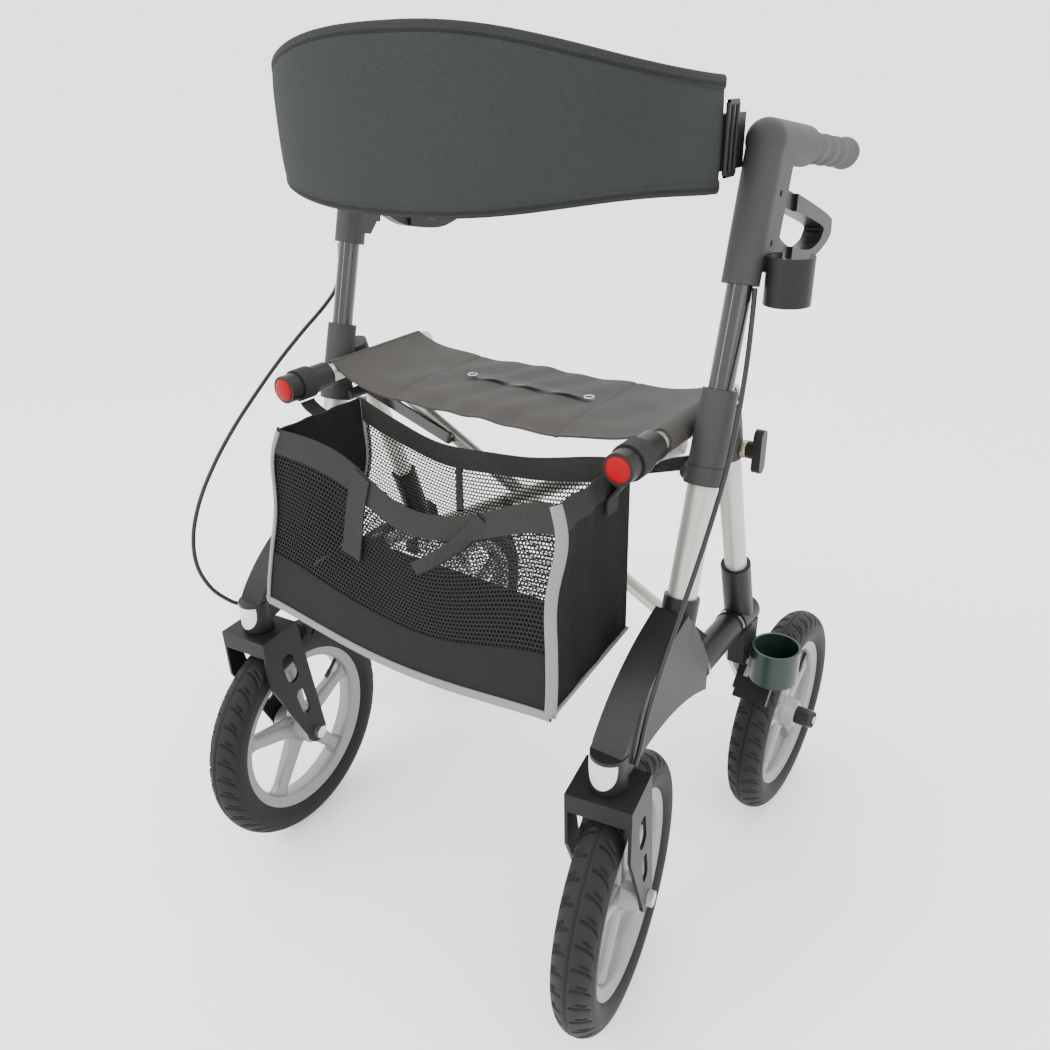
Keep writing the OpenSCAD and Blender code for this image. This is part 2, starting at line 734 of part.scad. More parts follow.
module caster_fork(side) color(black_c) on_caster(side) {
  crown_z = boss_bottom_z - crown_gap - crown_t;
  for (x = [-fork_gap / 2 - fork_t, fork_gap / 2])
    translate([x, 0, 0]) side_plate(fork_t) fork_plate();
  translate([0, 0, crown_z]) box_at([fork_gap + fork_t, crown_l, crown_t]);
  translate([0, -crown_l / 2 + fork_t / 2, crown_z - crown_lip_h])
    box_at([fork_gap + fork_t, fork_t, crown_lip_h]);
  translate([0, 0, crown_z]) cylinder(r = stem_d / 2, h = crown_t + crown_gap + stem_seat);
}

// Seat rails, seat and basket

module rail() color(silver_c) on_rail() translate([0, 0, rail_front_y + sleeve_cap])
  pipe(rail_r, rail_r - tube_wall, rail_rear_y - rail_front_y - sleeve_cap);

module rail_sleeve() color(black_c) on_rail() translate([0, 0, rail_front_y]) difference() {
  cylinder(r = sleeve_r, h = sleeve_l);
  translate([0, 0, sleeve_cap - seat_gap]) cylinder(r = rail_r + seat_gap, h = sleeve_l);
  translate([0, 0, -overrun]) cylinder(r = reflector_r + seat_gap, h = reflector_t + overrun);
}

module rail_reflector() color(red_c) on_rail() translate([0, 0, rail_front_y]) {
  translate([0, 0, seat_gap / 2]) cylinder(r = reflector_r, h = reflector_t - seat_gap);
  translate([0, 0, -reflector_dome])
    cylinder(r1 = reflector_r - reflector_dome, r2 = reflector_r, h = reflector_dome + seat_gap);
}

module seat() color(cloth_c) {
  hem_r = rail_r + slide_gap;
  seat_l = seat_rear_y - seat_front_y;
  translate([0, seat_front_y, 0]) difference() {
    union() {
      translate([-rail_half_w, 0, rail_z + hem_r]) cube([rail_half_w * 2, seat_l, seat_t]);
      for (x = [-rail_half_w, rail_half_w]) translate([x, 0, rail_z]) along_y(hem_r + seat_t, seat_l);
    }
    for (x = [-rail_half_w, rail_half_w]) {
      translate([x, -overrun, rail_z]) along_y(hem_r, seat_l + 2 * overrun);
      translate([x - hem_r * 2, -overrun, rail_z - hem_r * 2])
        cube([hem_r * 4, seat_l + 2 * overrun, hem_r * 2]);
    }
  }
}

function basket_side(inset, top_over) = [
  [basket_front_y + inset, basket_bottom_z + inset],
  [basket_front_y + basket_back_lean + inset, basket_bottom_z + basket_h + top_over],
  [basket_front_y + basket_l - inset, basket_bottom_z + basket_h + top_over],
  [basket_front_y + basket_l - inset, basket_bottom_z + basket_rear_rise + inset]];

// Space above a hanging rim, as shares along the basket's width
function above_rim(sag, drop, lean_share, round_share) = concat(
  [for (i = [0:rim_steps])
    let (share = along(i, rim_steps), hang = pow(sin(180 * pow(share, lean_share)), round_share))
    [basket_half_w * (2 * share - 1), basket_bottom_z + basket_h - drop - sag * max(hang, 0)]],
  [[basket_half_w, basket_bottom_z + basket_h * 2], [-basket_half_w, basket_bottom_z + basket_h * 2]]);
module rim_cut(y, outline)
  translate([0, y, 0]) rotate([90, 0, 0]) linear_extrude(basket_l / 2) polygon(outline);

module basket() color(black_c) difference() {
  union() {
    difference() {
      translate([-basket_half_w, 0, 0]) side_plate(basket_half_w * 2) polygon(basket_side(0, 0));
      translate([basket_t - basket_half_w, 0, 0])
        side_plate((basket_half_w - basket_t) * 2) polygon(basket_side(basket_t, overrun));
      intersection() {
        translate([basket_t - basket_half_w, 0, 0])
          side_plate((basket_half_w - basket_t) * 2) polygon(basket_side(-overrun, overrun));
        union() {
          rim_cut(basket_front_y + basket_l / 2,
            above_rim(front_sag, front_rim_drop, front_rim_lean_share, front_rim_round_share));
          rim_cut(basket_front_y + basket_l + basket_l / 4,
            above_rim(rear_sag, 0, rear_rim_lean_share, rear_rim_round_share));
        }
      }
    }
    // Loops that hang the basket on the rail sleeves
    for (side = [-1, 1]) translate([0, rail_front_y + hanger_back, rail_z]) {
      translate([side * rail_half_w, 0, 0]) along_y(sleeve_r + slide_gap + hanger_t, hanger_l);
      translate([side * basket_half_w - hanger_block / 2, 0, -sleeve_r - hanger_t])
        cube([hanger_block, hanger_l, sleeve_r]);
    }
  }
  for (side = [-1, 1]) translate([side * rail_half_w, rail_front_y - overrun, rail_z])
    along_y(sleeve_r + slide_gap, sleeve_l + overrun);
}

// Cross brace

module brace_bar(y) color(silver_c) difference() {
  union() {
    difference() {
      on_bar(y) translate([bar_seat, 0, 0]) rotate([90, 0, 90])
        linear_extrude(brace_l - bar_seat + bar_end_over) rotate(90) long_round(bar_h - bar_t, bar_t);
      // The end is cut upright, so that it clears the handle housing as the brace folds
      translate([-rail_half_w - bar_end_reach - bar_h, y - bar_t, bar_end_z - bar_h])
        cube([bar_h, bar_t * 2, bar_h * 2]);
    }
    translate([-rail_half_w, y - saddle_l / 2, rail_z]) along_y(rail_r + saddle_wall, saddle_l);
  }
  translate([-rail_half_w, y - saddle_l, rail_z]) along_y(rail_r + seat_gap / 4, saddle_l * 2);
  // The saddle holds the rail from below, clear of the seat's hem
  translate([-rail_half_w - rail_d, y - saddle_l, rail_z - clear_gap])
    cube([rail_d * 2, saddle_l * 2, rail_d]);
  on_bar(y) translate([brace_lower_l, -bar_t, 0]) along_y(bolt_r + run_gap, bar_t * 2);
}

module brace_sleeve(y) color(black_c) difference() {
  union() {
    translate([frame_half_w, brace_sleeve_y, lower_tube_z]) along_y(brace_sleeve_d / 2, brace_sleeve_l);
    on_bar(y) rotate([90, 0, 90]) linear_extrude(bar_cap_l) rotate(90)
      long_round(bar_h - bar_t, bar_t + 2 * bar_cap_wall);
  }
  translate([frame_half_w, brace_sleeve_y - overrun, lower_tube_z])
    along_y(lower_tube_r + run_gap, brace_sleeve_l + 2 * overrun);
  on_bar(y) translate([bar_seat - seat_gap, 0, 0]) rotate([90, 0, 90]) linear_extrude(bar_cap_l)
    rotate(90) long_round(bar_h - bar_t, bar_t + 2 * seat_gap);
}

module brace_bolt() color(steel_c) {
  bolt_z = lower_tube_z + brace_lower_l * sin(brace_angle);
  front = bar_front_y - bar_t / 2 - seat_gap;
  rear = bar_rear_y + bar_t / 2 + seat_gap;
  translate([0, front, bolt_z]) along_y(bolt_r, rear - front);
  for (y = [front - bolt_head_t, rear]) translate([0, y, bolt_z]) rotate([-90, 0, 0])
    cylinder(r = bolt_head_r, h = bolt_head_t, $fn = 6);
  // Spacer between the two bars
  translate([0, bar_front_y + bar_t / 2 + seat_gap, bolt_z])
    along_y(bolt_head_r, bar_rear_y - bar_front_y - bar_t - 2 * seat_gap);
}

module stay_link() color(dark_c)
  translate([frame_half_w - link_pin_in, link_rest_y + link_t / 2, link_pin_z]) rotate([90, 0, 0])
  linear_extrude(link_t) difference() {
    link_l = norm([link_run, link_drop]);
    union() {
      circle(r = link_eye_r);
      rotate(180 + atan2(link_drop, link_run)) translate([link_l / 2, 0]) long_round(link_l, link_w);
    }
    circle(r = link_pin_r + run_gap);
  }

// Handles

module handle_tube() color(black_c) on_tube(collar_top_s - tube_in_leg)
  pipe(handle_tube_r, handle_tube_r - tube_wall, tube_in_leg + tube_show + tube_in_housing);

module handle_housing() color(dark_c) difference() {
  union() {
    on_tube(housing_s) cylinder(r = housing_r, h = housing_h - barrel_r);
    on_tube(housing_s) translate([-housing_r, 0, 0]) side_plate(housing_w) polygon([
      [0, housing_back_s], [housing_back_low, housing_back_s], [housing_back, housing_back_rise],
      [housing_back, housing_back_top], [0, housing_back_top]]);
    on_barrel() cylinder(r = barrel_r, h = barrel_l);
    on_barrel() sphere(r = barrel_r);
    on_barrel() cylinder(r = spigot_r, h = barrel_l + spigot_l);
  }
  on_tube(housing_s - overrun)
    cylinder(r = handle_tube_r + seat_gap, h = tube_in_housing + overrun + seat_gap);
  difference() {
    slot_low = lever_pivot_z - lever_slot_bottom;
    translate([frame_half_w - lever_slot_w / 2, lever_pivot_y - lever_slot_front, slot_low])
      cube([lever_slot_w, lever_slot_reach, lever_slot_bottom + lever_slot_top]);
    translate([frame_half_w - lever_slot_w, lever_pivot_y, lever_pivot_z])
      along_x(lever_pin_r, lever_slot_w * 2);
  }
  // Sunk screw holes in the outer face
  for (s = [screw_low_s, screw_mid_s])
    on_tube(housing_s + s) translate([housing_r - screw_depth, screw_back, 0])
      along_x(screw_r, screw_depth + overrun);
}

module grip() color(grey_c) on_barrel() translate([0, 0, barrel_l + seat_gap]) difference() {
  union() {
    cylinder(d = grip_d, h = grip_l);
    for (i = [1:grip_ridges]) translate([0, 0, i * grip_l / (grip_ridges + 2)])
      cylinder(r = grip_ridge_r, h = grip_ridge_l);
    translate([0, 0, grip_l - grip_flare_l]) cylinder(d1 = grip_d, r2 = grip_end_r, h = grip_flare_l);
  }
  translate([0, 0, -overrun]) cylinder(r = spigot_r + seat_gap, h = spigot_l + overrun + seat_gap);
}

module lever_shape() difference() {
  polygon(smooth_loop(concat(lever_top, lever_tip, lever_low), lever_steps));
  polygon(smooth_loop(concat(lever_gap_top, lever_gap_low), lever_steps));
}

module on_lever() translate([frame_half_w, lever_pivot_y, lever_pivot_z]) children();
module brake_lever() color(black_c) on_lever() difference() {
  union() {
    translate([-lever_arm_w / 2, 0, 0]) side_plate(lever_arm_w) lever_shape();
    translate([-lever_pad_w / 2, 0, 0]) side_plate(lever_pad_w) intersection() {
      lever_shape();
      translate([lever_slot_reach, -lever_slot_reach * 2]) square(lever_slot_reach * 3);
    }
    translate([-lever_arm_w / 2, 0, 0]) along_x(lever_hub_r, lever_arm_w);
  }
  translate([-lever_pad_w, 0, 0]) along_x(lever_pin_r + run_gap, lever_pad_w * 2);
}

module brake_cable(side) color(black_c) on_frame() {
  route = side == "right" ? right_cable : left_cable;
  polyhedron(
    points = [for (i = [0:len(route) - 1]) each ring(route, i, cable_d / 2, cable_sides)],
    faces = sweep_faces(len(route), cable_sides));
}

module backrest_clip() color(black_c) difference() {
  clip_x = frame_half_w - housing_r - seat_gap - clip_t;
  translate([clip_x, clip_front_y, clip_z]) cube([clip_t, clip_l, clip_h]);
  translate([clip_x + (clip_t - clip_slot_w) / 2, clip_front_y - overrun, clip_z - overrun])
    cube([clip_slot_w, clip_slot_l, clip_h + 2 * overrun]);
}

// Back band: a padded strip on a squarish bow, thick in the middle and thin along its edges
function band_power(v) = sign(v) * pow(abs(v), band_square_share);
function band_ring(a) =
  let (
    bow = sin(a),
    x = band_half_w * band_power(cos(a)),
    y = clip_front_y - band_end_gap - band_bow * band_power(max(bow, 0)),
    out = unit([cos(a), -bow]),
    half_t = band_t / 2 * (band_end_t_share + (1 - band_end_t_share) * bow),
    half_h = (band_end_h + (band_mid_h - band_end_h) * pow(max(bow, 0), band_swell_power)) / 2,
    z = band_z + band_mid_rise * bow)
  [for (k = [0:band_sides - 1])
    let (
      c = cos(360 * k / band_sides),
      s = sin(360 * k / band_sides),
      across = half_t * sign(c) * pow(abs(c), band_edge_share))
    [x + out[0] * across, y + out[1] * across * min(1, bow * 2), z + half_h * s]];

module backrest() color(cloth_c) polyhedron(
  points = [for (i = [0:band_steps]) each band_ring(180 - i * 180 / band_steps)],
  faces = sweep_faces(band_steps + 1, band_sides));

// Cane holder

module cane_cup() color(cup_c) translate([frame_half_w, cup_y, 0]) difference() {
  bracket_low = min(cup_bracket_z, cup_z + cup_h - cup_bracket_h);
  bracket_top = max(cup_bracket_z, cup_z) + cup_bracket_h;
  union() {
    translate([cup_out, 0, cup_z]) cylinder(r = cup_r, h = cup_h);
    translate([joint_r + seat_gap, -cup_bracket_l / 2, bracket_low])
      cube([cup_r, cup_bracket_l, bracket_top - bracket_low]);
  }
  translate([cup_out, 0, cup_z + cup_wall]) cylinder(r = cup_r - cup_wall, h = bracket_top + cup_h);
}

// An open ring for the shaft of the cane, with its mouth to the rear
module cane_clip() color(black_c) {
  ring_x = housing_r + seat_gap + cane_clip_r;
  translate([frame_half_w, cane_clip_y, cane_clip_z]) {
    translate([ring_x, 0, 0]) linear_extrude(cane_clip_h) difference() {
      circle(r = cane_clip_r);
      circle(r = cane_clip_r - cane_clip_t);
      translate([-cane_clip_mouth / 2, 0]) square([cane_clip_mouth, cane_clip_r + overrun]);
    }
    translate([housing_r + seat_gap, -cane_neck_l / 2, cane_clip_h - cane_neck_h])
      cube([cane_clip_t, cane_neck_l, cane_neck_h]);
  }
}

// Drawing

for (side = SIDES) {
  bar_y = side == "left" ? bar_front_y : bar_rear_y;
  on_side(side) front_leg();
  on_side(side) rear_leg();
  on_side(side) collar();
  on_side(side) front_arm();
  on_side(side) rear_joint();
  on_side(side) lower_tube();
  on_side(side) axle_plate();
  on_side(side) handle_tube();
  on_side(side) handle_housing();
  on_side(side) grip();
  on_side(side) brake_lever();
  on_side(side) brake_cable(side);
  on_side(side) caster_fork(side);
  on_side(side) front_axle(side);
  on_side(side) front_tyre(side);
  on_side(side) front_rim(side);
  on_side(side) rear_tyre();
  on_side(side) rear_rim();
  on_side(side) rail();
  on_side(side) rail_sleeve();
  on_side(side) rail_reflector();
  on_side(side) brace_bar(bar_y);
  on_side(side) brace_sleeve(bar_y);
  on_side(side) stay_link();
  on_side(side) collar_knob();
  on_side(side) brake_arm();
  on_side(side) backrest_clip();
}
brace_bolt();
seat();
basket();
backrest();
cane_cup();
cane_clip();
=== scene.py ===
"""Looks of an all terrain rollator: cloth, tyres, rims, grips and small fittings round its CAD frame."""

import json
import logging
import math
from dataclasses import dataclass
from dataclasses import field
from enum import Enum
from typing import Union

import bpy
import numpy as np
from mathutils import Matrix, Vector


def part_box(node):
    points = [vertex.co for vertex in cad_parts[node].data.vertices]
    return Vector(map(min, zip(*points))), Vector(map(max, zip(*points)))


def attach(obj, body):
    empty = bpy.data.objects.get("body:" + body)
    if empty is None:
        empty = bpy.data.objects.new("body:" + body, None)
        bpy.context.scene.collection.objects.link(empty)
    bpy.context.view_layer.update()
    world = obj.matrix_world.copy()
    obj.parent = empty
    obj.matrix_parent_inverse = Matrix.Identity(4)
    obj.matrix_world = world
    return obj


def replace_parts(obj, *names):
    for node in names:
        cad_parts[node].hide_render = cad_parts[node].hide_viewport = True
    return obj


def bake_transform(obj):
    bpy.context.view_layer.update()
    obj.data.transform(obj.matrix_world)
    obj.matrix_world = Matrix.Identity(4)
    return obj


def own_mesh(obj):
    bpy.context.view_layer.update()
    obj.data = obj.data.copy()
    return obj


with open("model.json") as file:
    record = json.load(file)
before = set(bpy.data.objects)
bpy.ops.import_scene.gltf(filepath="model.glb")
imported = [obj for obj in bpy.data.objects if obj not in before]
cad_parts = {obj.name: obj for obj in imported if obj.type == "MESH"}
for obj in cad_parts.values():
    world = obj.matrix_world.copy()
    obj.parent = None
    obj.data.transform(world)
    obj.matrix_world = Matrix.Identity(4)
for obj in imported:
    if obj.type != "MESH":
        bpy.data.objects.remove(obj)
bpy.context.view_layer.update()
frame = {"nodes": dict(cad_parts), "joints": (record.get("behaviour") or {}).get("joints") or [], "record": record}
LOG = logging.getLogger("rollator")
JOINTS = {joint["name"]: joint for joint in frame["joints"]}
UP = np.array([0.0, 0.0, 1.0])

Array = np.ndarray
Number = Union[np.ndarray, float]
Color = tuple[float, float, float]
Point = tuple[float, float, float]
Value = Union["Sock", float, tuple]


def middle_of(node: str) -> Array:
    """The middle of a CAD node's box."""
    low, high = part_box(node)
    return np.array((low + high) / 2)


FRAME_X, CASTER_Y, _ = JOINTS["right_caster_swivel"]["pos_m"]
RAIL_X, _, RAIL_Z = middle_of("right_rail")


class Side(Enum):
    """A side of the object, seen from the front."""

    LEFT = -1
    RIGHT = 1

    @property
    def word(self) -> str:
        """The side's word in the names of nodes and bodies."""
        return self.name.lower()

    def place(self, grid: Array) -> Array:
        """Mirrors points that were made for the right side, if this is the left side."""
        return grid * np.array([self.value, 1.0, 1.0])


class Space(Enum):
    """The coordinates that a material can read, by the place of their output."""

    MAP = 2
    OBJECT = 3


class Sock:
    """A shader socket that adds, multiplies and compares like a number."""

    def __init__(self, graph: "Graph", socket: bpy.types.NodeSocket) -> None:
        self.graph = graph
        self.socket = socket

    def math(self, operation: str, first: Value, second: Value = 0.0) -> "Sock":
        """Makes a math node of that operation."""
        return self.graph.node("Math", {0: first, 1: second}, operation=operation)

    def __add__(self, other: Value) -> "Sock":
        return self.math("ADD", self, other)

    def __radd__(self, other: Value) -> "Sock":
        return self.math("ADD", other, self)

    def __sub__(self, other: Value) -> "Sock":
        return self.math("SUBTRACT", self, other)

    def __rsub__(self, other: Value) -> "Sock":
        return self.math("SUBTRACT", other, self)

    def __mul__(self, other: Value) -> "Sock":
        return self.math("MULTIPLY", self, other)

    def __rmul__(self, other: Value) -> "Sock":
        return self.math("MULTIPLY", other, self)

    def __truediv__(self, other: Value) -> "Sock":
        return self.math("DIVIDE", self, other)

    def __rtruediv__(self, other: Value) -> "Sock":
        return self.math("DIVIDE", other, self)

    def __gt__(self, other: Value) -> "Sock":
        return self.math("GREATER_THAN", self, other)

    def __lt__(self, other: Value) -> "Sock":
        return self.math("LESS_THAN", self, other)

    def __abs__(self) -> "Sock":
        return self.math("ABSOLUTE", self)

    def wave(self, pitch: float) -> "Sock":
        """A wave from -1 to 1 that repeats at the pitch."""
        return self.math("SINE", self * (2 * math.pi / pitch))

    def saw(self, pitch: float) -> "Sock":
        """The place within each repeat, from 0 to 1."""
        return self.math("FRACT", self / pitch)


class Graph:
    """The nodes of one material."""

    def __init__(self, name: str) -> None:
        self.material = bpy.data.materials.new(name)
        self.material.use_nodes = True
        self.tree = self.material.node_tree
        self.shader = self.tree.nodes["Principled BSDF"]

    def node(self, kind: str, inputs: dict, output: int = 0, **settings: object) -> Sock:
        """Makes a node, sets its options and feeds its inputs.

        Args:
            kind: The node's type, without its common prefix.
            inputs: Values or sockets, by input name or place.
            output: The place of the output to return.
            settings: Options of the node.

        Returns:
            The output socket.
        """
        made = self.tree.nodes.new("ShaderNode" + kind)
        for name, setting in settings.items():
            setattr(made, name, setting)
        for place, value in inputs.items():
            self.feed(made.inputs[place], value)
        return Sock(self, made.outputs[output])

    def feed(self, socket: bpy.types.NodeSocket, value: Value) -> None:
        """Links a socket, or sets its value."""
        if isinstance(value, Sock):
            self.tree.links.new(value.socket, socket)
        else:
            socket.default_value = value

    def set(self, **inputs: Value) -> None:
        """Feeds inputs of the surface shader; an underscore stands for a space."""
        for name, value in inputs.items():
            self.feed(self.shader.inputs[name.replace("_", " ")], value)

    def noise(self, scale: float, detail: float = 2.0) -> Sock:
        """Noise in the object's own coordinates, around 0.5."""
        place = self.node("TexCoord", {}, output=Space.OBJECT.value)
        return self.node("TexNoise", {"Vector": place, "Scale": scale, "Detail": detail})

    def place(self, space: Space) -> list[Sock]:
        """The three coordinates of a point, on the piece's own map or in the object's space, in metres."""
        place = self.node("TexCoord", {}, output=space.value)
        split = self.node("SeparateXYZ", {0: place}).socket.node
        return [Sock(self, socket) for socket in split.outputs]

    def mix(self, share: Value, first: Color, second: Color) -> Sock:
        """A colour between two colours."""
        inputs = {0: share, 6: (*first, 1.0), 7: (*second, 1.0)}
        return self.node("Mix", inputs, output=2, data_type="RGBA")

    def bump(self, height: Value, strength: float, distance: float) -> Sock:
        """A normal that is roughened by a height."""
        return self.node("Bump", {"Height": height, "Strength": strength, "Distance": distance})


@dataclass(frozen=True)
class Finish:
    """A plain finish with a fine grain and a slight change of shade.

    Attributes:
        slot: The record's material slot.
        color: Base colour.
        roughness: Roughness of the surface.
        metallic: Share of metal.
        coat: Weight of a clear coat.
        grain: Strength of the grain.
        grain_scale: Fineness of the grain.
        shine: Strength of the mirror light.
        name: Name of the material, if it isn't the slot's.
    """

    slot: str
    color: Color
    roughness: float = 0.5
    metallic: float = 0.0
    coat: float = 0.0
    grain: float = 0.15
    grain_scale: float = 700.0
    shine: float = 0.3
    name: str = ""

    def material(self) -> bpy.types.Material:
        """The finish's material, made at its first use."""
        name = self.name or self.slot
        found = bpy.data.materials.get("finish_" + name)
        if found is not None:
            return found
        graph = Graph("finish_" + name)
        graph.set(Metallic=self.metallic, Coat_Weight=self.coat, Coat_Roughness=0.08)
        graph.set(Specular_IOR_Level=self.shine)
        self.paint(graph)
        return graph.material

    def paint(self, graph: Graph) -> None:
        """Adds colour, roughness and grain to the material."""
        patch = graph.noise(9.0, 3.0)
        lighter = tuple(min(1.0, c * 1.12 + 0.002) for c in self.color)
        graph.set(Base_Color=graph.mix(patch, self.color, lighter))
        graph.set(Roughness=self.roughness + (patch - 0.5) * 0.12)
        if self.grain > 0:
            graph.set(Normal=graph.bump(graph.noise(self.grain_scale), self.grain, 0.0006))


@dataclass(frozen=True)
class Woven(Finish):
    """A woven cloth: two crossing sets of threads on the piece's own map.

    Attributes:
        pitch: Distance from thread to thread.
        second: Colour of the flecks.
        weave: Strength of the weave.
    """

    pitch: float = 0.0016
    second: Color = (0.1, 0.1, 0.1)
    weave: float = 0.5

    def paint(self, graph: Graph) -> None:
        """Adds threads, flecks and roughness to the material."""
        along, across, _ = graph.place(Space.MAP)
        threads = along.wave(self.pitch) * across.wave(self.pitch)
        fleck = graph.noise(420.0, 4.0) * 0.7 + graph.noise(14.0, 3.0) * 0.3
        graph.set(Base_Color=graph.mix(fleck, self.color, self.second))
        graph.set(Roughness=self.roughness, Normal=graph.bump(threads, self.weave, 0.0004))


@dataclass(frozen=True)
class Net(Finish):
    """An open mesh cloth: round holes in staggered rows, seen through.

    Attributes:
        pitch: Distance from hole to hole.
        hole: Radius of a hole as a share of the pitch.
    """

    pitch: float = 0.0044
    hole: float = 0.36

    def paint(self, graph: Graph) -> None:
        """Cuts the holes: a point is open where it is near the middle of its cell."""
        along, across, _ = graph.place(Space.MAP)
        row = across.saw(self.pitch * 2) > 0.5
        x = (along + row * (self.pitch / 2)).saw(self.pitch) - 0.5
        y = across.saw(self.pitch) - 0.5
        open_here = (x * x + y * y) < self.hole**2
        graph.set(Base_Color=(*self.color, 1.0), Roughness=self.roughness, Alpha=1.0 - open_here)


@dataclass(frozen=True)
class Prism(Finish):
    """A reflector: a bright colour under a ribbed clear face.

    Attributes:
        pitch: Distance from rib to rib.
    """

    pitch: float = 0.003

    def paint(self, graph: Graph) -> None:
        """Adds crossed ribs and a faint painted glow."""
        across, _, up = graph.place(Space.OBJECT)
        ribs = abs(across.wave(self.pitch)) + abs(up.wave(self.pitch))
        graph.set(Base_Color=(*self.color, 1.0), Roughness=self.roughness)
        # Painted light: the emission makes the reflector glow though it is no lamp.
        graph.set(Emission_Color=(*self.color, 1.0), Emission_Strength=0.12)
        graph.set(Normal=graph.bump(ribs, 0.3, 0.0006))


class Finishes(Enum):
    """Every finish of the object."""

    SILVER_TUBE = Finish("silver_tube", (0.42, 0.405, 0.375), 0.4, 0.6, grain=0.05)
    SILVER_METAL = Finish("silver_metal", (0.48, 0.47, 0.45), 0.38, 0.7, grain=0.05)
    DARK_PLASTIC = Finish("dark_plastic", (0.030, 0.032, 0.0305), 0.52, shine=0.16)
    BLACK_PLASTIC = Finish("black_plastic", (0.0085, 0.0081, 0.0072), 0.42, shine=0.2)
    GREEN_PLASTIC = Finish("green_plastic", (0.010, 0.022, 0.017), 0.32)
    BLACK_METAL = Finish("black_metal", (0.008, 0.0085, 0.008), 0.16, 0.1, 0.6, grain=0.0)
    FORK_PAINT = Finish("black_metal", (0.0065, 0.0062, 0.0055), 0.45, grain=0.1, shine=0.16,
                        name="fork_paint")
    GREY_RUBBER = Finish("grey_rubber", (0.052, 0.052, 0.049), 0.65, grain=0.4, shine=0.2)
    CABLE = Finish("cable_sheath", (0.010, 0.010, 0.010), 0.35, grain=0.0)
    STEEL = Finish("steel", (0.55, 0.54, 0.51), 0.32, 1.0, grain=0.05)
    BRASS = Finish("steel", (0.36, 0.30, 0.20), 0.35, 1.0, grain=0.05, name="knob_nut")
    TYRE = Finish("tyre", (0.0075, 0.0070, 0.0062), 0.66, grain=0.3, shine=0.22)
    RIM = Finish("silver_plastic", (0.20, 0.203, 0.203), 0.36, 0.4, grain=0.05)
    RED = Prism("red_reflector", (0.24, 0.0005, 0.003), 0.25, shine=0.1)
    SILVER_LENS = Prism("red_reflector", (0.55, 0.56, 0.56), 0.3, name="silver_reflector")
    SEAT = Woven("seat_cloth", (0.026, 0.024, 0.0215), 0.7, second=(0.046, 0.042, 0.038), weave=0.35)
    NET = Net("basket_mesh", (0.009, 0.009, 0.0085), 0.7, shine=0.15, name="basket_net")
    BAG = Woven("basket_mesh", (0.0065, 0.0065, 0.0055), 0.75, second=(0.012, 0.012, 0.0105), shine=0.15,
                name="basket_cloth")
    WEBBING = Woven("basket_mesh", (0.013, 0.013, 0.012), 0.7, pitch=0.003, second=(0.028, 0.028, 0.026),
                    weave=0.8, shine=0.15, name="webbing")
    STRAP = Woven("seat_cloth", (0.034, 0.032, 0.029), 0.7, pitch=0.003, second=(0.062, 0.058, 0.054),
                  weave=0.8, name="seat_strap")
    PIPING = Woven("basket_mesh", (0.15, 0.15, 0.142), 0.7, second=(0.21, 0.21, 0.2), name="piping")
    BAND = Woven("band_cloth", (0.016, 0.0185, 0.0175), 0.85, second=(0.03, 0.034, 0.032), weave=0.6,
                 shine=0.15)
    BINDING = Woven("band_cloth", (0.012, 0.013, 0.0125), 0.8, pitch=0.0024, second=(0.03, 0.033, 0.0315),
                    weave=0.8, name="band_binding", shine=0.15)


@dataclass
class Form:
    """Collects point grids and turns them into one mesh object.

    Attributes:
        name: Name of the object.
        finish: Finish of the object.
        points: Points of each grid.
        quads: Faces of each grid, by the numbers of their points.
        maps: Flat map of each grid.
        count: Number of points so far.
    """

    name: str
    finish: Finishes
    points: list[Array] = field(default_factory=list)
    quads: list[Array] = field(default_factory=list)
    maps: list[Array] = field(default_factory=list)
    count: int = 0

    def add(self, grid: Array, around: bool = False, ring: bool = False) -> "Form":
        """Adds a grid of points, with faces between its neighbours.

        Args:
            grid: Points in rows, metres.
            around: Whether the last row joins the first.
            ring: Whether each row's last point joins its first.

        Returns:
            The form itself.
        """
        rows, cols = grid.shape[:2]
        index = np.arange(rows * cols).reshape(rows, cols) + self.count
        if around:
            index = np.concatenate([index, index[:1]], axis=0)
        if ring:
            index = np.concatenate([index, index[:, :1]], axis=1)
        corners = (index[:-1, :-1], index[1:, :-1], index[1:, 1:], index[:-1, 1:])
        self.quads.append(np.stack(corners, axis=-1).reshape(-1, 4))
        self.points.append(grid.reshape(-1, 3))
        self.maps.append(measured_map(grid).reshape(-1, 2))
        self.count += rows * cols
        return self

    def add_sheet(self, grid: Array, thickness: float) -> "Form":
        """Adds a sheet of a thickness: both faces and the four edges."""
        normal = unit(np.cross(np.gradient(grid, axis=0), np.gradient(grid, axis=1)))
        top = grid + normal * thickness / 2
        low = grid - normal * thickness / 2
        edges = [(top[0], low[0]), (low[-1], top[-1]), (low[:, 0], top[:, 0]), (top[:, -1], low[:, -1])]
        self.add(top).add(low[::-1])
        for edge in edges:
            self.add(np.stack(edge))
        return self

    def build(self, body: str = "") -> bpy.types.Object:
        """Makes the object and lets it ride on a body, if one is named."""
        mesh = bpy.data.meshes.new(self.name)
        mesh.from_pydata(np.concatenate(self.points).tolist(), [], np.concatenate(self.quads).tolist())
        mesh.polygons.foreach_set("use_smooth", np.ones(len(mesh.polygons), bool))
        layer = mesh.uv_layers.new(name="map")
        corner = np.zeros(len(mesh.loops), np.int32)
        mesh.loops.foreach_get("vertex_index", corner)
        layer.data.foreach_set("uv", np.concatenate(self.maps)[corner].astype(np.float32).ravel())
        mesh.materials.append(self.finish.value.material())
        mesh.update()
        made = bpy.data.objects.new(self.name, mesh)
        bpy.context.scene.collection.objects.link(made)
        if body:
            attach(made, body)
        LOG.info("%s: %d faces %s", self.name, len(mesh.polygons), body)
        return made


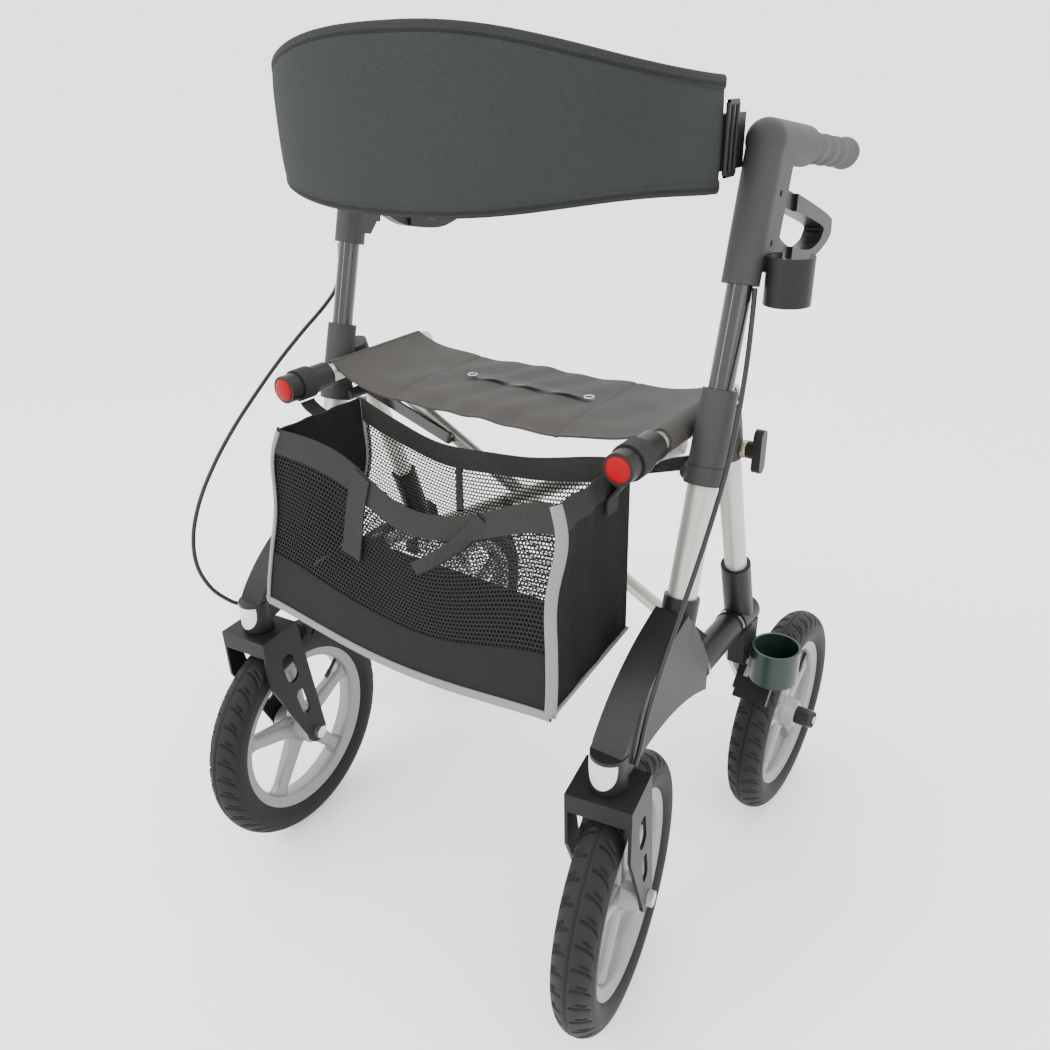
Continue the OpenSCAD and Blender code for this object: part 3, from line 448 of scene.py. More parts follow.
def measured_map(grid: Array) -> Array:
    """A flat map of a grid: the mean distance walked along its rows and along its columns."""
    along = np.linalg.norm(np.diff(grid, axis=0), axis=-1).mean(axis=1)
    across = np.linalg.norm(np.diff(grid, axis=1), axis=-1).mean(axis=0)
    u = np.concatenate([[0.0], np.cumsum(along)])
    v = np.concatenate([[0.0], np.cumsum(across)])
    return np.stack(np.meshgrid(u, v, indexing="ij"), axis=-1)


def points(x: Number, y: Number, z: Number) -> Array:
    """Points from their three coordinates, each spread over the same rows and columns."""
    return np.stack(np.broadcast_arrays(x, y, z), axis=-1)


def lathe(profile: list[tuple[float, float]], steps: int) -> Array:
    """Turns a profile of (radius, height) about Z: each row is the profile at one angle."""
    angle = np.linspace(0, 2 * np.pi, steps, endpoint=False)[:, None]
    radius, height = np.array(profile, float).T
    return points(radius * np.cos(angle), radius * np.sin(angle), height)


def mirrored(profile: list[tuple[float, float]]) -> list[tuple[float, float]]:
    """A profile of (radius, height) run backwards on the other side of height zero."""
    return [(radius, -height) for radius, height in reversed(profile)]


def unit(vectors: Array) -> Array:
    """Vectors of length one."""
    return vectors / np.maximum(np.linalg.norm(vectors, axis=-1, keepdims=True), 1e-12)


def sweep(path: Array, section: Array, hint: Point) -> Array:
    """Carries a section along a path: the section's first axis stands square to the path and the hint.

    Args:
        path: Points of the path.
        section: Points of the section, or one section for each point of the path.
        hint: Direction that the section's second axis leans to.

    Returns:
        Rows of points, one row for each point of the path.
    """
    ahead = unit(np.gradient(path, axis=0))
    first = unit(np.cross(ahead, np.array(hint, float)))
    second = np.cross(first, ahead)
    shape = np.broadcast_to(section, (len(path),) + section.shape[-2:])
    return path[:, None] + shape[..., :1] * first[:, None] + shape[..., 1:] * second[:, None]


def oval(width: float, height: float, sides: int = 14, power: float = 1.0) -> Array:
    """A closed section: a circle stretched to a width and a height; a power below 1 makes it squarer."""
    angle = np.linspace(0, 2 * np.pi, sides, endpoint=False)
    wave = np.stack([np.cos(angle), np.sin(angle)], axis=-1)
    return np.sign(wave) * np.abs(wave) ** power * np.array([width / 2, height / 2])


def smooth_path(through: list[Point], steps: int = 8) -> Array:
    """A smooth line through points: on each stretch a cubic whose slopes follow the points on both sides."""
    p = np.array(through, float)
    p = np.concatenate([[2 * p[0] - p[1]], p, [2 * p[-1] - p[-2]]])
    t = np.linspace(0, 1, steps, endpoint=False)[None, :, None]
    a, b, c, d = (p[i : len(p) - 3 + i][:, None] for i in range(4))
    cubic = b + 0.5 * t * (c - a + t * (2 * a - 5 * b + 4 * c - d + t * (3 * (b - c) + d - a)))
    return np.concatenate([cubic.reshape(-1, 3), p[-2:-1]])


def spread(first: float, last: float, count: int) -> Array:
    """Evenly spread values."""
    return np.linspace(first, last, count)


def hanging(share: Array, lean: float, power: float) -> Array:
    """Depth of a hanging edge, 0 at its ends and 1 at its lowest: half a sine wave, leaned and sharpened."""
    return np.clip(np.sin(np.pi * share**lean), 0, 1) ** power


def smooth_step(value: Array, low: float, high: float) -> Array:
    """Rises softly from 0 at low to 1 at high."""
    t = np.clip((value - low) / (high - low), 0, 1)
    return t * t * (3 - 2 * t)


@dataclass
class CadFinishes:
    """Gives each CAD node that stays in view its finish, by the record's slots.

    Attributes:
        own: Finishes of single nodes, which go before their slot's.
    """

    own: dict[str, Finishes]

    def build(self) -> None:
        """Puts its finish on every CAD node."""
        by_slot = {finish.value.slot: finish for finish in reversed(Finishes)}
        for part in frame["record"]["subparts"]:
            shown = frame["nodes"][part["node"]]
            finish = self.own.get(part["node"], by_slot[part["material_slot"]])
            shown.data.materials.clear()
            shown.data.materials.append(finish.value.material())


@dataclass
class Wheel:
    """An air tyre on a spoked rim; its rolling joint gives its middle, its axle and its radius.

    Attributes:
        name: Side and place of the wheel, which start the names of its pieces.
        hub_length: Length of the hub.
        half_width: Half the width of the tyre.
        blocks: Number of tread blocks round the tyre.
        groove: Depth of the tread.
        rim_half: Half the width of the rim.
        spokes: Number of spokes.
        spoke: Width and depth of a spoke at the hub.
        valve_turn: Angle of the valve round the rim.
        valve_out: Distance of the valve from the rim's middle plane.
    """

    name: str
    hub_length: float
    half_width: float = 0.023
    blocks: int = 40
    groove: float = 0.0026
    rim_half: float = 0.016
    spokes: int = 5
    spoke: tuple[float, float] = (0.026, 0.019)
    valve_turn: float = 0.62
    valve_out: float = 0.006

    def __post_init__(self) -> None:
        """Reads the joint; the wheel stands on the ground, so its radius is its height."""
        joint = JOINTS[self.name + "_roll"]
        self.center = np.array(joint["pos_m"], float)
        self.axle = np.array(joint["axis"], float)
        self.radius = self.center[2]
        self.bead = self.radius - self.half_width * 1.78

    def place(self, grid: Array) -> Array:
        """Moves a grid that was turned about Z onto the wheel's axle."""
        side = np.cross(UP, self.axle)
        return self.center + grid[..., :1] * side + grid[..., 1:2] * UP + grid[..., 2:] * self.axle

    def tread(self, angle: Array, slant: Array) -> Array:
        """Depth of the tread: a groove round the middle, and curved grooves that run out to each shoulder."""
        out = np.abs(slant) / 1.15
        phase = angle * self.blocks / (2 * np.pi) + 0.5 * (slant > 0)
        curve = 0.9 * np.sqrt(np.clip(1 - ((out - 0.2) / 0.85) ** 2, 0, 1))
        first = np.abs((phase + curve) % 1 - 0.5)
        second = np.abs((phase - 0.7 * out + 0.45) % 1 - 0.5)
        band = smooth_step(out, 0.14, 0.2) * (1 - smooth_step(out, 0.95, 1.05))
        short = smooth_step(out, 0.4, 0.46) * (1 - smooth_step(out, 0.8, 0.86))
        cut = band * (1 - smooth_step(first, 0.045, 0.085))
        cut = np.maximum(cut, short * (1 - smooth_step(second, 0.04, 0.075)))
        cut = np.maximum(cut, 1 - smooth_step(out, 0.03, 0.07))
        return np.maximum(cut, 0.4 * (1 - smooth_step(np.abs(out - 1.12), 0.01, 0.03)))

    def tyre(self) -> Form:
        """A ring with a round section, open at the rim, with the tread cut into it."""
        angle = spread(0, 2 * np.pi, 801)[:-1, None]
        slant = spread(-2.45, 2.45, 61)[None]
        radius = self.half_width - self.groove * self.tread(angle, slant)
        away = self.radius - self.half_width + radius * np.cos(slant)
        grid = points(away * np.cos(angle), away * np.sin(angle), radius * np.sin(slant))
        return Form(self.name + "_tyre_look", Finishes.TYRE).add(self.place(grid), around=True)

    def rim(self) -> Form:
        """A stepped ring, a hub and the spokes, each spoke an oval section that widens at both ends."""
        form = Form(self.name + "_rim_look", Finishes.RIM)
        outer = [(0.005, 1.0), (0.005, 0.84), (0.0, 0.8), (-0.005, 0.5)]
        inner = [(0.001, -1.04), (-0.002, -0.9), (-0.004, -0.86), (-0.009, -0.82), (-0.011, -0.7)]
        outline = outer + mirrored(outer) + inner + [(-0.0115, 0.0)] + mirrored(inner)
        ring = [(self.bead + step, share * self.rim_half) for step, share in outline]
        form.add(self.place(lathe(ring, 160)), around=True, ring=True)
        end = self.hub_length / 2
        hub = [(0.0062, end), (0.017, end), (0.019, end - 0.002), (0.0195, 0.012), (0.0225, 0.009)]
        form.add(self.place(lathe(hub + mirrored(hub), 48)), around=True)
        reach = spread(0.016, self.bead - 0.009, 25)
        share = (reach - reach[0]) / (reach[-1] - reach[0])
        foot = 0.006 * (1 - smooth_step(share, 0, 0.2))
        flare = 0.012 * smooth_step(share, 0.8, 1.0)
        width = self.spoke[0] - 0.010 * share + flare + foot
        depth = self.spoke[1] - 0.003 * share
        section = oval(1, 1, 20, 0.55)[None] * np.stack([width, depth], axis=-1)[:, None]
        for turn in np.arange(self.spokes) * 2 * np.pi / self.spokes + np.pi / 2:
            path = reach[:, None] * np.array([math.cos(turn), math.sin(turn), 0.0])
            form.add(self.place(sweep(path, section, UP)), ring=True)
        return form

    def valve(self) -> Form:
        """A small stem that stands inward from the rim, with a wider cap."""
        cap = [(0.0, 0.030), (0.0032, 0.030), (0.0034, 0.020)]
        across, deep, height = np.moveaxis(lathe(cap + [(0.0026, 0.019), (0.0026, 0.0)], 12), -1, 0)
        away = self.bead - 0.010 - height
        cos, sin = math.cos(self.valve_turn), math.sin(self.valve_turn)
        grid = points(away * cos - across * sin, away * sin + across * cos, deep + self.valve_out)
        return Form(self.name + "_valve", Finishes.CABLE).add(self.place(grid), around=True)

    def build(self) -> None:
        """Makes tyre, rim and valve."""
        body = self.name + "_wheel"
        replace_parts(self.tyre().build(body), self.name + "_tyre")
        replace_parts(self.rim().build(body), self.name + "_rim")
        self.valve().build(body)


@dataclass
class Grip:
    """A ribbed rubber grip with finger ridges and a flared end.

    Attributes:
        side: Side of the grip.
        start: Front end of the grip's axis.
        tilt: Downward tilt of the axis.
        length: Length of the grip.
        radius: Mean radius.
        wave: Height of the finger waves.
        fingers: Number of finger waves.
        rib: Height of the fine ribs.
        ribs: Number of fine ribs.
        flare: How much thicker the end is.
        end: Share of the length where the end starts to round off.
    """

    side: Side
    start: Point = (FRAME_X, 0.127, 0.8775)
    tilt: float = math.radians(7)
    length: float = 0.150
    radius: float = 0.0142
    wave: float = 0.0018
    fingers: float = 4.5
    rib: float = 0.0004
    ribs: int = 26
    flare: float = 0.0026
    end: float = 0.965

    def grid(self) -> Array:
        """A turned form whose radius swells in waves, most on the finger side, with a thick rounded end."""
        along = spread(0, 1, 121)[:, None]
        angle = spread(0, 2 * np.pi, 49)[None, :-1]
        under = np.clip(-np.sin(angle), 0, 1) ** 0.7
        swell = (0.35 + 0.65 * under) * smooth_step(along, 0.08, 0.2)
        waves = self.wave * swell * np.cos(along * 2 * np.pi * self.fingers)
        ribbed = (np.sin(along * 2 * np.pi * self.ribs) > 0) * (along > 0.15) * (along < 0.85)
        flare = self.flare * smooth_step(along, 0.86, 0.95)
        past = np.clip((along - self.end) / (1 - self.end), 0, 1)
        radius = (self.radius + waves + self.rib * ribbed * (1 - under) + flare) * np.sqrt(1 - past**2)
        reach = along * self.length
        lift = radius * np.sin(angle)
        y = reach * math.cos(self.tilt) + lift * math.sin(self.tilt)
        z = lift * math.cos(self.tilt) - reach * math.sin(self.tilt)
        return np.array(self.start) + points(radius * np.cos(angle), y, z)

    def build(self) -> None:
        """Makes the grip."""
        form = Form(self.side.word + "_grip_look", Finishes.GREY_RUBBER)
        form.add(self.side.place(self.grid()), ring=True)
        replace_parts(form.build(self.side.word + "_handle"), self.side.word + "_grip")


@dataclass
class BackBand:
    """The padded back band: two woven faces, swollen by a short cloth run, with a bound edge above and below.

    Attributes:
        half_width: Half the distance between its ends.
        bow: How far it bows forward.
        end_y: Place of its ends, front to back.
        square: Power that makes the bow squarer than half a circle.
        middle_z: Height of its ends' middle.
        rise: How much higher its own middle is.
        end_height: Height of the cloth at its ends.
        middle_height: Height of the cloth in the middle.
        thickness: Thickness of the padding before it swells.
        frames: Steps of the cloth run.
        pressure: Pressure of the cloth run.
        swell: The most that a point may move in the cloth run.
        keep: Share of its width that is left when the frame is folded; not used.
        rings: Number of rings along the band.
        sides: Number of points round a ring.
        binding: Depth and height of the bound edges.
        binding_in: How far the middle of a bound edge lies inside the cloth's edge.
    """

    half_width: float = 0.2303
    bow: float = 0.170
    end_y: float = -0.0224
    square: float = 0.8
    middle_z: float = 0.896
    rise: float = 0.018
    end_height: float = 0.089
    middle_height: float = 0.146
    thickness: float = 0.015
    frames: int = 20
    pressure: float = 4.0
    swell: float = 0.004
    keep: float = 0.596
    rings: int = 129
    sides: int = 40
    binding: tuple[float, float] = (0.0095, 0.013)
    binding_in: float = 0.003

    def line(self) -> tuple[Array, Array, Array]:
        """The band's middle line, half its height and its bend, from one end to the other."""
        angle = spread(np.pi, 0, self.rings)
        bend = np.clip(np.sin(angle), 0, 1)
        x = self.half_width * np.sign(np.cos(angle)) * np.abs(np.cos(angle)) ** self.square
        y = self.end_y - self.bow * bend**self.square
        half = (self.end_height + (self.middle_height - self.end_height) * bend**3) / 2
        return points(x, y, self.middle_z + self.rise * bend), half, bend

    def section(self) -> Array:
        """A flat oval that starts at its bottom, where the binding hides the seam."""
        return np.roll(oval(2, 2, self.sides, 0.62), self.sides // 4, axis=0)

    def padding(self) -> Array:
        """Rings round the padding: flat faces that draw in to thin edges above and below."""
        middle, half, bend = self.line()
        ahead = unit(np.gradient(middle[:, :2], axis=0))
        out = points(ahead[:, 1], -ahead[:, 0], 0.0)
        across, up = self.section().T
        deep = (self.thickness / 2 * (0.5 + 0.5 * bend))[:, None] * across
        grid = middle[:, None] + deep[..., None] * out[:, None]
        grid[..., 2] += half[:, None] * np.sign(up) * np.abs(up) ** 1.1
        return grid

    def held(self) -> Array:
        """The points that the cloth run holds: the edges above and below, and the ends."""
        held = np.zeros((self.rings, self.sides), bool)
        held[:, np.abs(self.section()[:, 1]) > 0.95] = True
        held[:3] = True
        held[-3:] = True
        return held.ravel()

    def swell_up(self, made: bpy.types.Object) -> None:
        """Blows the padding up with a cloth run, and caps how far any point moves."""
        group = made.vertex_groups.new(name="held")
        group.add(np.flatnonzero(self.held()).tolist(), 1.0, "REPLACE")
        cloth = made.modifiers.new("cloth", "CLOTH")
        cloth.settings.vertex_group_mass = "held"
        cloth.settings.use_pressure = True
        cloth.settings.uniform_pressure_force = self.pressure
        cloth.settings.effector_weights.gravity = 0.0
        cloth.settings.quality = 6
        cloth.settings.bending_stiffness = 2.0
        cloth.point_cache.frame_start = 1
        cloth.point_cache.frame_end = self.frames
        scene = bpy.context.scene
        for step in range(1, self.frames + 1):
            scene.frame_set(step)
        seen = made.evaluated_get(bpy.context.evaluated_depsgraph_get()).to_mesh()
        rest = np.zeros(len(made.data.vertices) * 3)
        blown = np.zeros(len(made.data.vertices) * 3)
        made.data.vertices.foreach_get("co", rest)
        seen.vertices.foreach_get("co", blown)
        move = (blown - rest).reshape(-1, 3)
        far = np.linalg.norm(move, axis=1, keepdims=True)
        move *= np.minimum(1.0, self.swell / np.maximum(far, 1e-9))
        made.modifiers.remove(cloth)
        made.data.vertices.foreach_set("co", rest + move.ravel())
        made.data.update()
        scene.frame_set(1)

    def fold(self, made: bpy.types.Object) -> None:
        """Gives a piece its own copy of its mesh."""
        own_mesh(made)

    def build(self) -> None:
        """Makes the band, swells it, binds its edges and closes its ends."""
        grid = self.padding()
        made = Form("back_band", Finishes.BAND).add(grid, ring=True).build("left_handle")
        self.swell_up(made)
        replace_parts(made, "backrest")
        self.fold(made)
        middle, half, _ = self.line()
        for word, sign in (("top", 1), ("bottom", -1)):
            path = middle + points(0.0, 0.0, sign * (half - self.binding_in))
            binding = Form(f"back_band_{word}_binding", Finishes.BINDING)
            binding.add(sweep(path, oval(*self.binding, 16, 0.7), UP), ring=True)
            self.fold(binding.build("left_handle"))
        for word, row in (("left", grid[0]), ("right", grid[-1])):
            cap = Form(f"back_band_{word}_end", Finishes.BINDING)
            cap.add(np.stack([row, row * 0.02 + row.mean(axis=0) * 0.98]), ring=True)
            self.fold(cap.build("left_handle"))


@dataclass
class Buckle:
    """The ribbed buckle that hooks an end of the back band to its clip.

    Attributes:
        side: Side of the buckle.
        x: Place of its flat frame.
        low: Height of the lower cross bar.
        high: Height of the upper cross bar.
        bars: Places of the upright bars, front to back.
        rod: Width and depth of a bar.
    """

    side: Side
    x: float = 0.2378
    low: float = 0.864
    high: float = 0.922
    bars: tuple[float, float, float] = (-0.021, -0.011, -0.001)
    rod: tuple[float, float] = (0.0034, 0.0056)

    def build(self) -> None:
        """Three upright bars and two cross bars, each a squarish rod."""
        form = Form(self.side.word + "_buckle", Finishes.BLACK_PLASTIC)
        rod = oval(*self.rod, 12, 0.6)
        for y in self.bars:
            path = points(self.x, y, spread(self.low, self.high, 9))
            form.add(sweep(self.side.place(path), rod, (0, 1, 0)), ring=True)
        for z in (self.low, self.high):
            path = points(self.x, spread(self.bars[0], self.bars[-1], 9), z)
            form.add(sweep(self.side.place(path), rod, UP), ring=True)
        form.build(self.side.word + "_handle")


def rail_body(side: Side) -> str:
    """The body that carries the seat rail of a side: the bar that rises to it from the other side."""
    return "brace_a" if side is Side.RIGHT else "brace_b"


@dataclass
class Soft:
    """Common ways of the seat and the basket, which hang on the rails.

    Attributes:
        body: Body that they ride on.
        keep: Share of their width that is left when the frame is folded; not used.
    """

    body: str = "seat_and_basket"
    keep: float = 0.585

    def finish(self, form: Form) -> bpy.types.Object:
        """Makes a piece that rides on the body, with its own copy of its mesh."""
        made = form.build(self.body)
        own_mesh(made)
        return made

    def round_rail(self, side: Side, radius: float, angle: Array, y: Array) -> Array:
        """Cloth round a rail: the part of a tube that the angles and the places along the rail give."""
        x = RAIL_X + radius * np.cos(angle)[:, None]
        z = RAIL_Z + radius * np.sin(angle)[:, None]
        return side.place(points(x, y[None], z))


@dataclass
class Seat(Soft):
    """The sling seat: a cloth with a hem round each rail, with seams, a pull slot and its strap; the slot is a
    dark strip of painted shade under the strap.

    Attributes:
        front: Front edge.
        rear: Rear edge.
        wrap: Radius of the cloth round a rail.
        cloth: Thickness of the cloth.
        slot_x: Middle of the slot, side to side.
        slot_y: Middle of the slot, front to back.
        slot_half: Half the length of the slot.
        slot_width: Width of the slot's dark strip of painted shade.
        strap_width: Width of the strap.
        eyelet: Radius of the eyelets.
        sag: How deep the cloth hangs between the rails.
        lip: How far the front edge reaches forward between the rails.
        tuck: How far the rear edge draws in between the rails.
        droop: How far the front edge hangs down.
        fold: Height of the long folds.
        crease: Height of the small creases.
        seam: Depth of the pressed seams.
        seam_x: Distance of the seams from the middle.
        seam_width: Width of the seams.
        flat: Width and length of the cloth before it was hung; not used.
    """

    front: float = -0.087
    rear: float = 0.072
    wrap: float = 0.0132
    cloth: float = 0.0022
    slot_x: float = 0.010
    slot_y: float = -0.004
    slot_half: float = 0.088
    slot_width: float = 0.0180
    strap_width: float = 0.0125
    eyelet: float = 0.0052
    sag: float = 0.018
    lip: float = 0.018
    tuck: float = 0.004
    droop: float = 0.005
    fold: float = 0.0013
    crease: float = 0.0009
    seam: float = 0.0012
    seam_x: float = 0.112
    seam_width: float = 0.0022
    flat: tuple[float, float] = (0.446, 0.174)

    def height(self, x: Array, y: Array) -> Array:
        """Height of the cloth: a shallow sag, slanting folds, creases and two pressed seams."""
        out = np.clip(np.abs(x) / RAIL_X, 0, 1)
        folds = self.fold * np.sin(x * 46 + y * 30 + 1.2 * np.sin(y * 40)) * np.sin(y * 24 + x * 7)
        creases = self.crease * np.sin(x * 95 - y * 52 + 2 * np.sin(x * 19))
        seams = self.seam * np.exp(-(((np.abs(x) - self.seam_x) / self.seam_width) ** 2))
        lift = (folds + creases - seams) * (1 - out**4) - self.sag * (1 - out**6)
        return RAIL_Z + self.wrap + lift

    def sling(self) -> Array:
        """The cloth between the tops of the rails, with a front edge that reaches forward and droops."""
        x = spread(-RAIL_X, RAIL_X, 161)[:, None]
        share = spread(0, 1, 61)[None]
        inside = 1 - (x / RAIL_X) ** 4
        front = self.front - self.lip * inside
        y = front + (self.rear - self.tuck * inside - front) * share
        droop = self.droop * inside * (1 - smooth_step(share, 0.0, 0.2))
        return points(x, y, self.height(x, y) - droop)

    def hem(self, side: Side) -> Array:
        """The cloth round a rail, from just past the rail's top, round its outer side."""
        angle = spread(math.radians(97), math.radians(-110), 25)
        return self.round_rail(side, self.wrap, angle, spread(self.front, self.rear, 31))

    def strip(self, half: float, width: float, lift: float) -> Array:
        """A strip with round ends that follows the cloth along the slot."""
        away = spread(-half, half, 61)[:, None]
        past = np.clip((np.abs(away) - half + width / 2) / (width / 2), 0, 1)
        y = self.slot_y + spread(-0.5, 0.5, 9)[None] * width * np.sqrt(1 - past**2)
        return points(self.slot_x + away, y, self.height(self.slot_x + away, y) + lift)

    def build(self) -> None:
        """Makes the cloth, its hems, the slot as a dark strip of painted shade with its strap, and two eyelets."""
        made = self.finish(Form("seat_look", Finishes.SEAT).add_sheet(self.sling(), self.cloth))
        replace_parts(made, "seat")
        for side in Side:
            hem = Form(f"seat_{side.word}_hem", Finishes.SEAT).add_sheet(self.hem(side), self.cloth)
            hem.build(rail_body(side))
        # The slot is a dark strip of painted shade: the shadow in the slot and along both sides of the strap.
        slot = self.strip(self.slot_half, self.slot_width, 0.0014)
        self.finish(Form("seat_slot_0", Finishes.CABLE).add(slot))
        strap = self.strip(self.slot_half - 0.004, self.strap_width, 0.0042)
        self.finish(Form("seat_slot_1", Finishes.STRAP).add(strap))
        circle = lathe([(self.eyelet, 0.0)], 33)[:, 0]
        for side in Side:
            away = self.slot_x + side.value * (self.slot_half - 0.007)
            place = np.array([away, self.slot_y, RAIL_Z + self.wrap - self.sag + 0.003])
            ring = sweep(circle, oval(0.0018, 0.0018, 8), UP) + place
            eyelet = Form(f"seat_{side.word}_eyelet", Finishes.STEEL).add(ring, around=True, ring=True)
            self.finish(eyelet)


@dataclass
class Basket(Soft):
    """The shopping basket: net front and rear with sagging webbing rims, closed sides and floor, grey piping.

    Attributes:
        half: Half its width at the bottom.
        bottom: Height of the bottom's corners.
        top: Height of the rim's corners.
        front: Place of the front at the bottom.
        front_top: Place of the front at the top.
        rear: Place of the rear.
        rear_rise: How much higher the bottom is at the rear.
        cloth: Thickness of the cloth.
        gather: How far each front corner draws in above.
        ripple: Waves of the front corners.
        hang: How far the bottom hangs in the middle of its front edge.
        left_pull: How far the rear left corner draws in.
        net_low: Share of the front's height where the net starts.
        front_drop: How far the ends of the front rim lie below the top.
        front_sag: How far the front rim hangs.
        rear_drop: How far the ends of the rear rim lie below the top.
        rear_sag: How far the rear rim hangs.
        bulge: How far front and rear bulge.
        loop_radius: Radius of the loops round the rails' sleeves.
        loop_y: Edges of the loops, front to back.
        loop_cloth: Thickness of the loops' ends.
        tail_x: Where a loop's end leaves the rail's sleeve, side to side.
        tail_top: How far below the rail's axis it leaves.
        tail_length: How far it hangs down.
        rim_cloth: Thickness of the rims.
        lift: How far the rims lie off the cloth.
    """

    half: float = 0.199
    bottom: float = 0.401
    top: float = 0.617
    front: float = -0.251
    front_top: float = -0.209
    rear: float = -0.106
    rear_rise: float = 0.020
    cloth: float = 0.0016
    gather: float = 0.017
    ripple: float = 0.008
    hang: float = 0.016
    left_pull: float = 0.042
    net_low: float = 0.30
    front_drop: float = 0.012
    front_sag: float = 0.050
    rear_drop: float = 0.001
    rear_sag: float = 0.033
    bulge: float = 0.006
    loop_radius: float = 0.0174
    loop_y: tuple[float, float] = (-0.148, -0.128)
    loop_cloth: float = 0.0024
    tail_x: float = 0.214
    tail_top: float = 0.0195
    tail_length: float = 0.040
    rim_cloth: float = 0.0032
    lift: float = 0.0008

    def front_half(self, v: Array) -> Array:
        """Half the front's width at a share of its height."""
        return self.half - self.gather * smooth_step(v, 0.3, 1.0) - self.ripple * np.sin(2 * np.pi * v**1.8)

    def front_point(self, share: Array, v: Array) -> Array:
        """A point of the front: it leans back, bulges with soft folds, and hangs at its rim and bottom."""
        low = self.bottom - self.hang * hanging(share, 1.0, 1.3)
        rim = self.top - self.front_drop - self.front_sag * hanging(share, 1.23, 1.9)
        z = low + (rim - low) * v
        x = (2 * share - 1) * self.front_half(v)
        inside = 4 * share * (1 - share)
        lean = (self.front_top - self.front) * (z - self.bottom) / (self.top - self.bottom)
        folds = 0.004 * np.sin(share * 13.5 + v * 5) * v
        y = self.front + lean + inside * (0.012 * v**2 - self.bulge * np.sin(np.pi * v) + folds)
        return points(x, y, z)

    def rear_point(self, share: Array, v: Array) -> Array:
        """A point of the rear: it bulges forward with soft folds, and its left corner is drawn in above."""
        low = self.bottom + self.rear_rise
        rim = self.top - self.rear_drop - self.rear_sag * hanging(share, 0.78, 1.2)
        left = self.left_pull * smooth_step(v, 0.0, 0.7) - self.half
        x = left + (self.half - left) * share
        inside = 4 * share * (1 - share)
        folds = 0.003 * np.sin(share * 16 + v * 6) * v
        y = self.rear + inside * (folds - self.bulge * np.sin(np.pi * v))
        return points(x, y, low + (rim - low) * v)

    def front_panel(self, low: float = 0.0, high: float = 1.0) -> Array:
        """The front between two shares of its height."""
        return self.front_point(spread(0, 1, 91)[:, None], spread(low, high, 49)[None])

    def rear_panel(self, low: float = 0.0, high: float = 1.0) -> Array:
        """The rear between two shares of its height."""
        return self.rear_point(spread(0, 1, 91)[:, None], spread(low, high, 49)[None])

    def side_panel(self, side: Side) -> Array:
        """A closed side between the front and rear edges, drawn in a little, with upright folds."""
        edge = 0 if side is Side.LEFT else -1
        w = spread(0, 1, 41)[:, None]
        v = spread(0, 1, 49)[None]
        front = self.front_panel()[edge]
        rear = self.rear_panel()[edge]
        grid = front + (rear - front) * w[..., None]
        folds = 0.007 * np.sin(np.pi * v) + 0.002 * np.sin(w * 19 + v * 4)
        grid[..., 0] -= side.value * folds * np.sin(np.pi * w)
        return grid

    def floor(self) -> Array:
        """The bottom, from the front edge up to the rear edge."""
        front = self.front_panel()[:, None, 0]
        rear = self.rear_panel()[:, None, 0]
        return front + (rear - front) * spread(0, 1, 21)[None, :, None]

    def tail(self, side: Side) -> Array:
        """The end of a loop's webbing, from under the rail's sleeve to the basket's side."""
        drop = spread(0, 1, 15)[:, None]
        wall = abs(self.side_panel(side)[28, 42, 0]) + 0.002
        x = wall + (self.tail_x - wall) * (1 - smooth_step(drop, 0.0, 0.7))
        z = RAIL_Z - self.tail_top - self.tail_length * drop
        return side.place(points(x, spread(*self.loop_y, 9)[None], z))

    def bag(self) -> Form:
        """The closed cloth: the lower front, the sides and the floor."""
        form = Form("basket_cloth", Finishes.BAG)
        sides = [self.side_panel(side) for side in Side]
        for panel in (self.front_panel(high=self.net_low), *sides, self.floor()):
            form.add_sheet(panel, self.cloth)
        return form

    def rims(self) -> Form:
        """The webbing along the upper edges, and the ends of the loops."""
        form = Form("basket_rims", Finishes.WEBBING)
        forward = np.array([0.0, -self.lift, 0.0])
        form.add_sheet(self.front_panel(low=0.87) + forward, self.rim_cloth)
        form.add_sheet(self.rear_panel(low=0.86) + forward, self.rim_cloth)
        for side in Side:
            outward = np.array([self.lift * side.value, 0.0, 0.0])
            form.add_sheet(self.side_panel(side)[:, -7:] + outward, self.loop_cloth)
            form.add_sheet(self.tail(side), self.loop_cloth)
        return form

    def loop(self, side: Side) -> Form:
        """A loop of webbing round a rail's sleeve."""
        grid = self.round_rail(side, self.loop_radius, spread(0, 2 * np.pi, 41), spread(*self.loop_y, 9))
        return Form(f"basket_{side.word}_loop", Finishes.WEBBING).add_sheet(grid, 0.0022)

    def piping(self) -> Form:
        """Flat grey piping along the outer edges, each edge with its way out."""
        front = self.front_panel()
        rear = self.rear_panel()
        floor = self.floor()
        edges = [(front[0], (-0.6, -0.8, 0)), (front[-1], (0.6, -0.8, 0)), (front[:, 0], (0, -1.0, -0.2)),
                 (rear[0], (-0.7, 0.7, 0)), (floor[0], (-0.7, 0, -0.7)), (floor[-1], (0.7, 0, -0.7))]
        form = Form("basket_piping", Finishes.PIPING)
        for path, out in edges:
            form.add(sweep(path, oval(0.012, 0.0042, 14, 0.7), out), ring=True)
        return form

    def straps(self) -> Form:
        """A hanging loop on the front rim, a cord from rim to rim, and its loose end across the front."""
        form = Form("basket_straps", Finishes.WEBBING)
        form.add_sheet(self.front_panel(low=0.56)[27:34] - np.array([0.0, 0.0045, 0.0]), 0.002)
        cord = smooth_path([(-0.012, -0.110, 0.562), (0.010, -0.138, 0.550), (0.036, -0.170, 0.549),
                            (0.056, -0.194, 0.560)])
        form.add(sweep(cord, oval(0.008, 0.0018, 10, 0.7), UP), ring=True)
        t = spread(0, 1, 25)
        loose = self.front_point(0.77 - 0.20 * t, 0.97 - 0.27 * t) - np.array([0.0, 0.004, 0.0])
        return form.add(sweep(loose, oval(0.0018, 0.016, 10, 0.7), UP), ring=True)

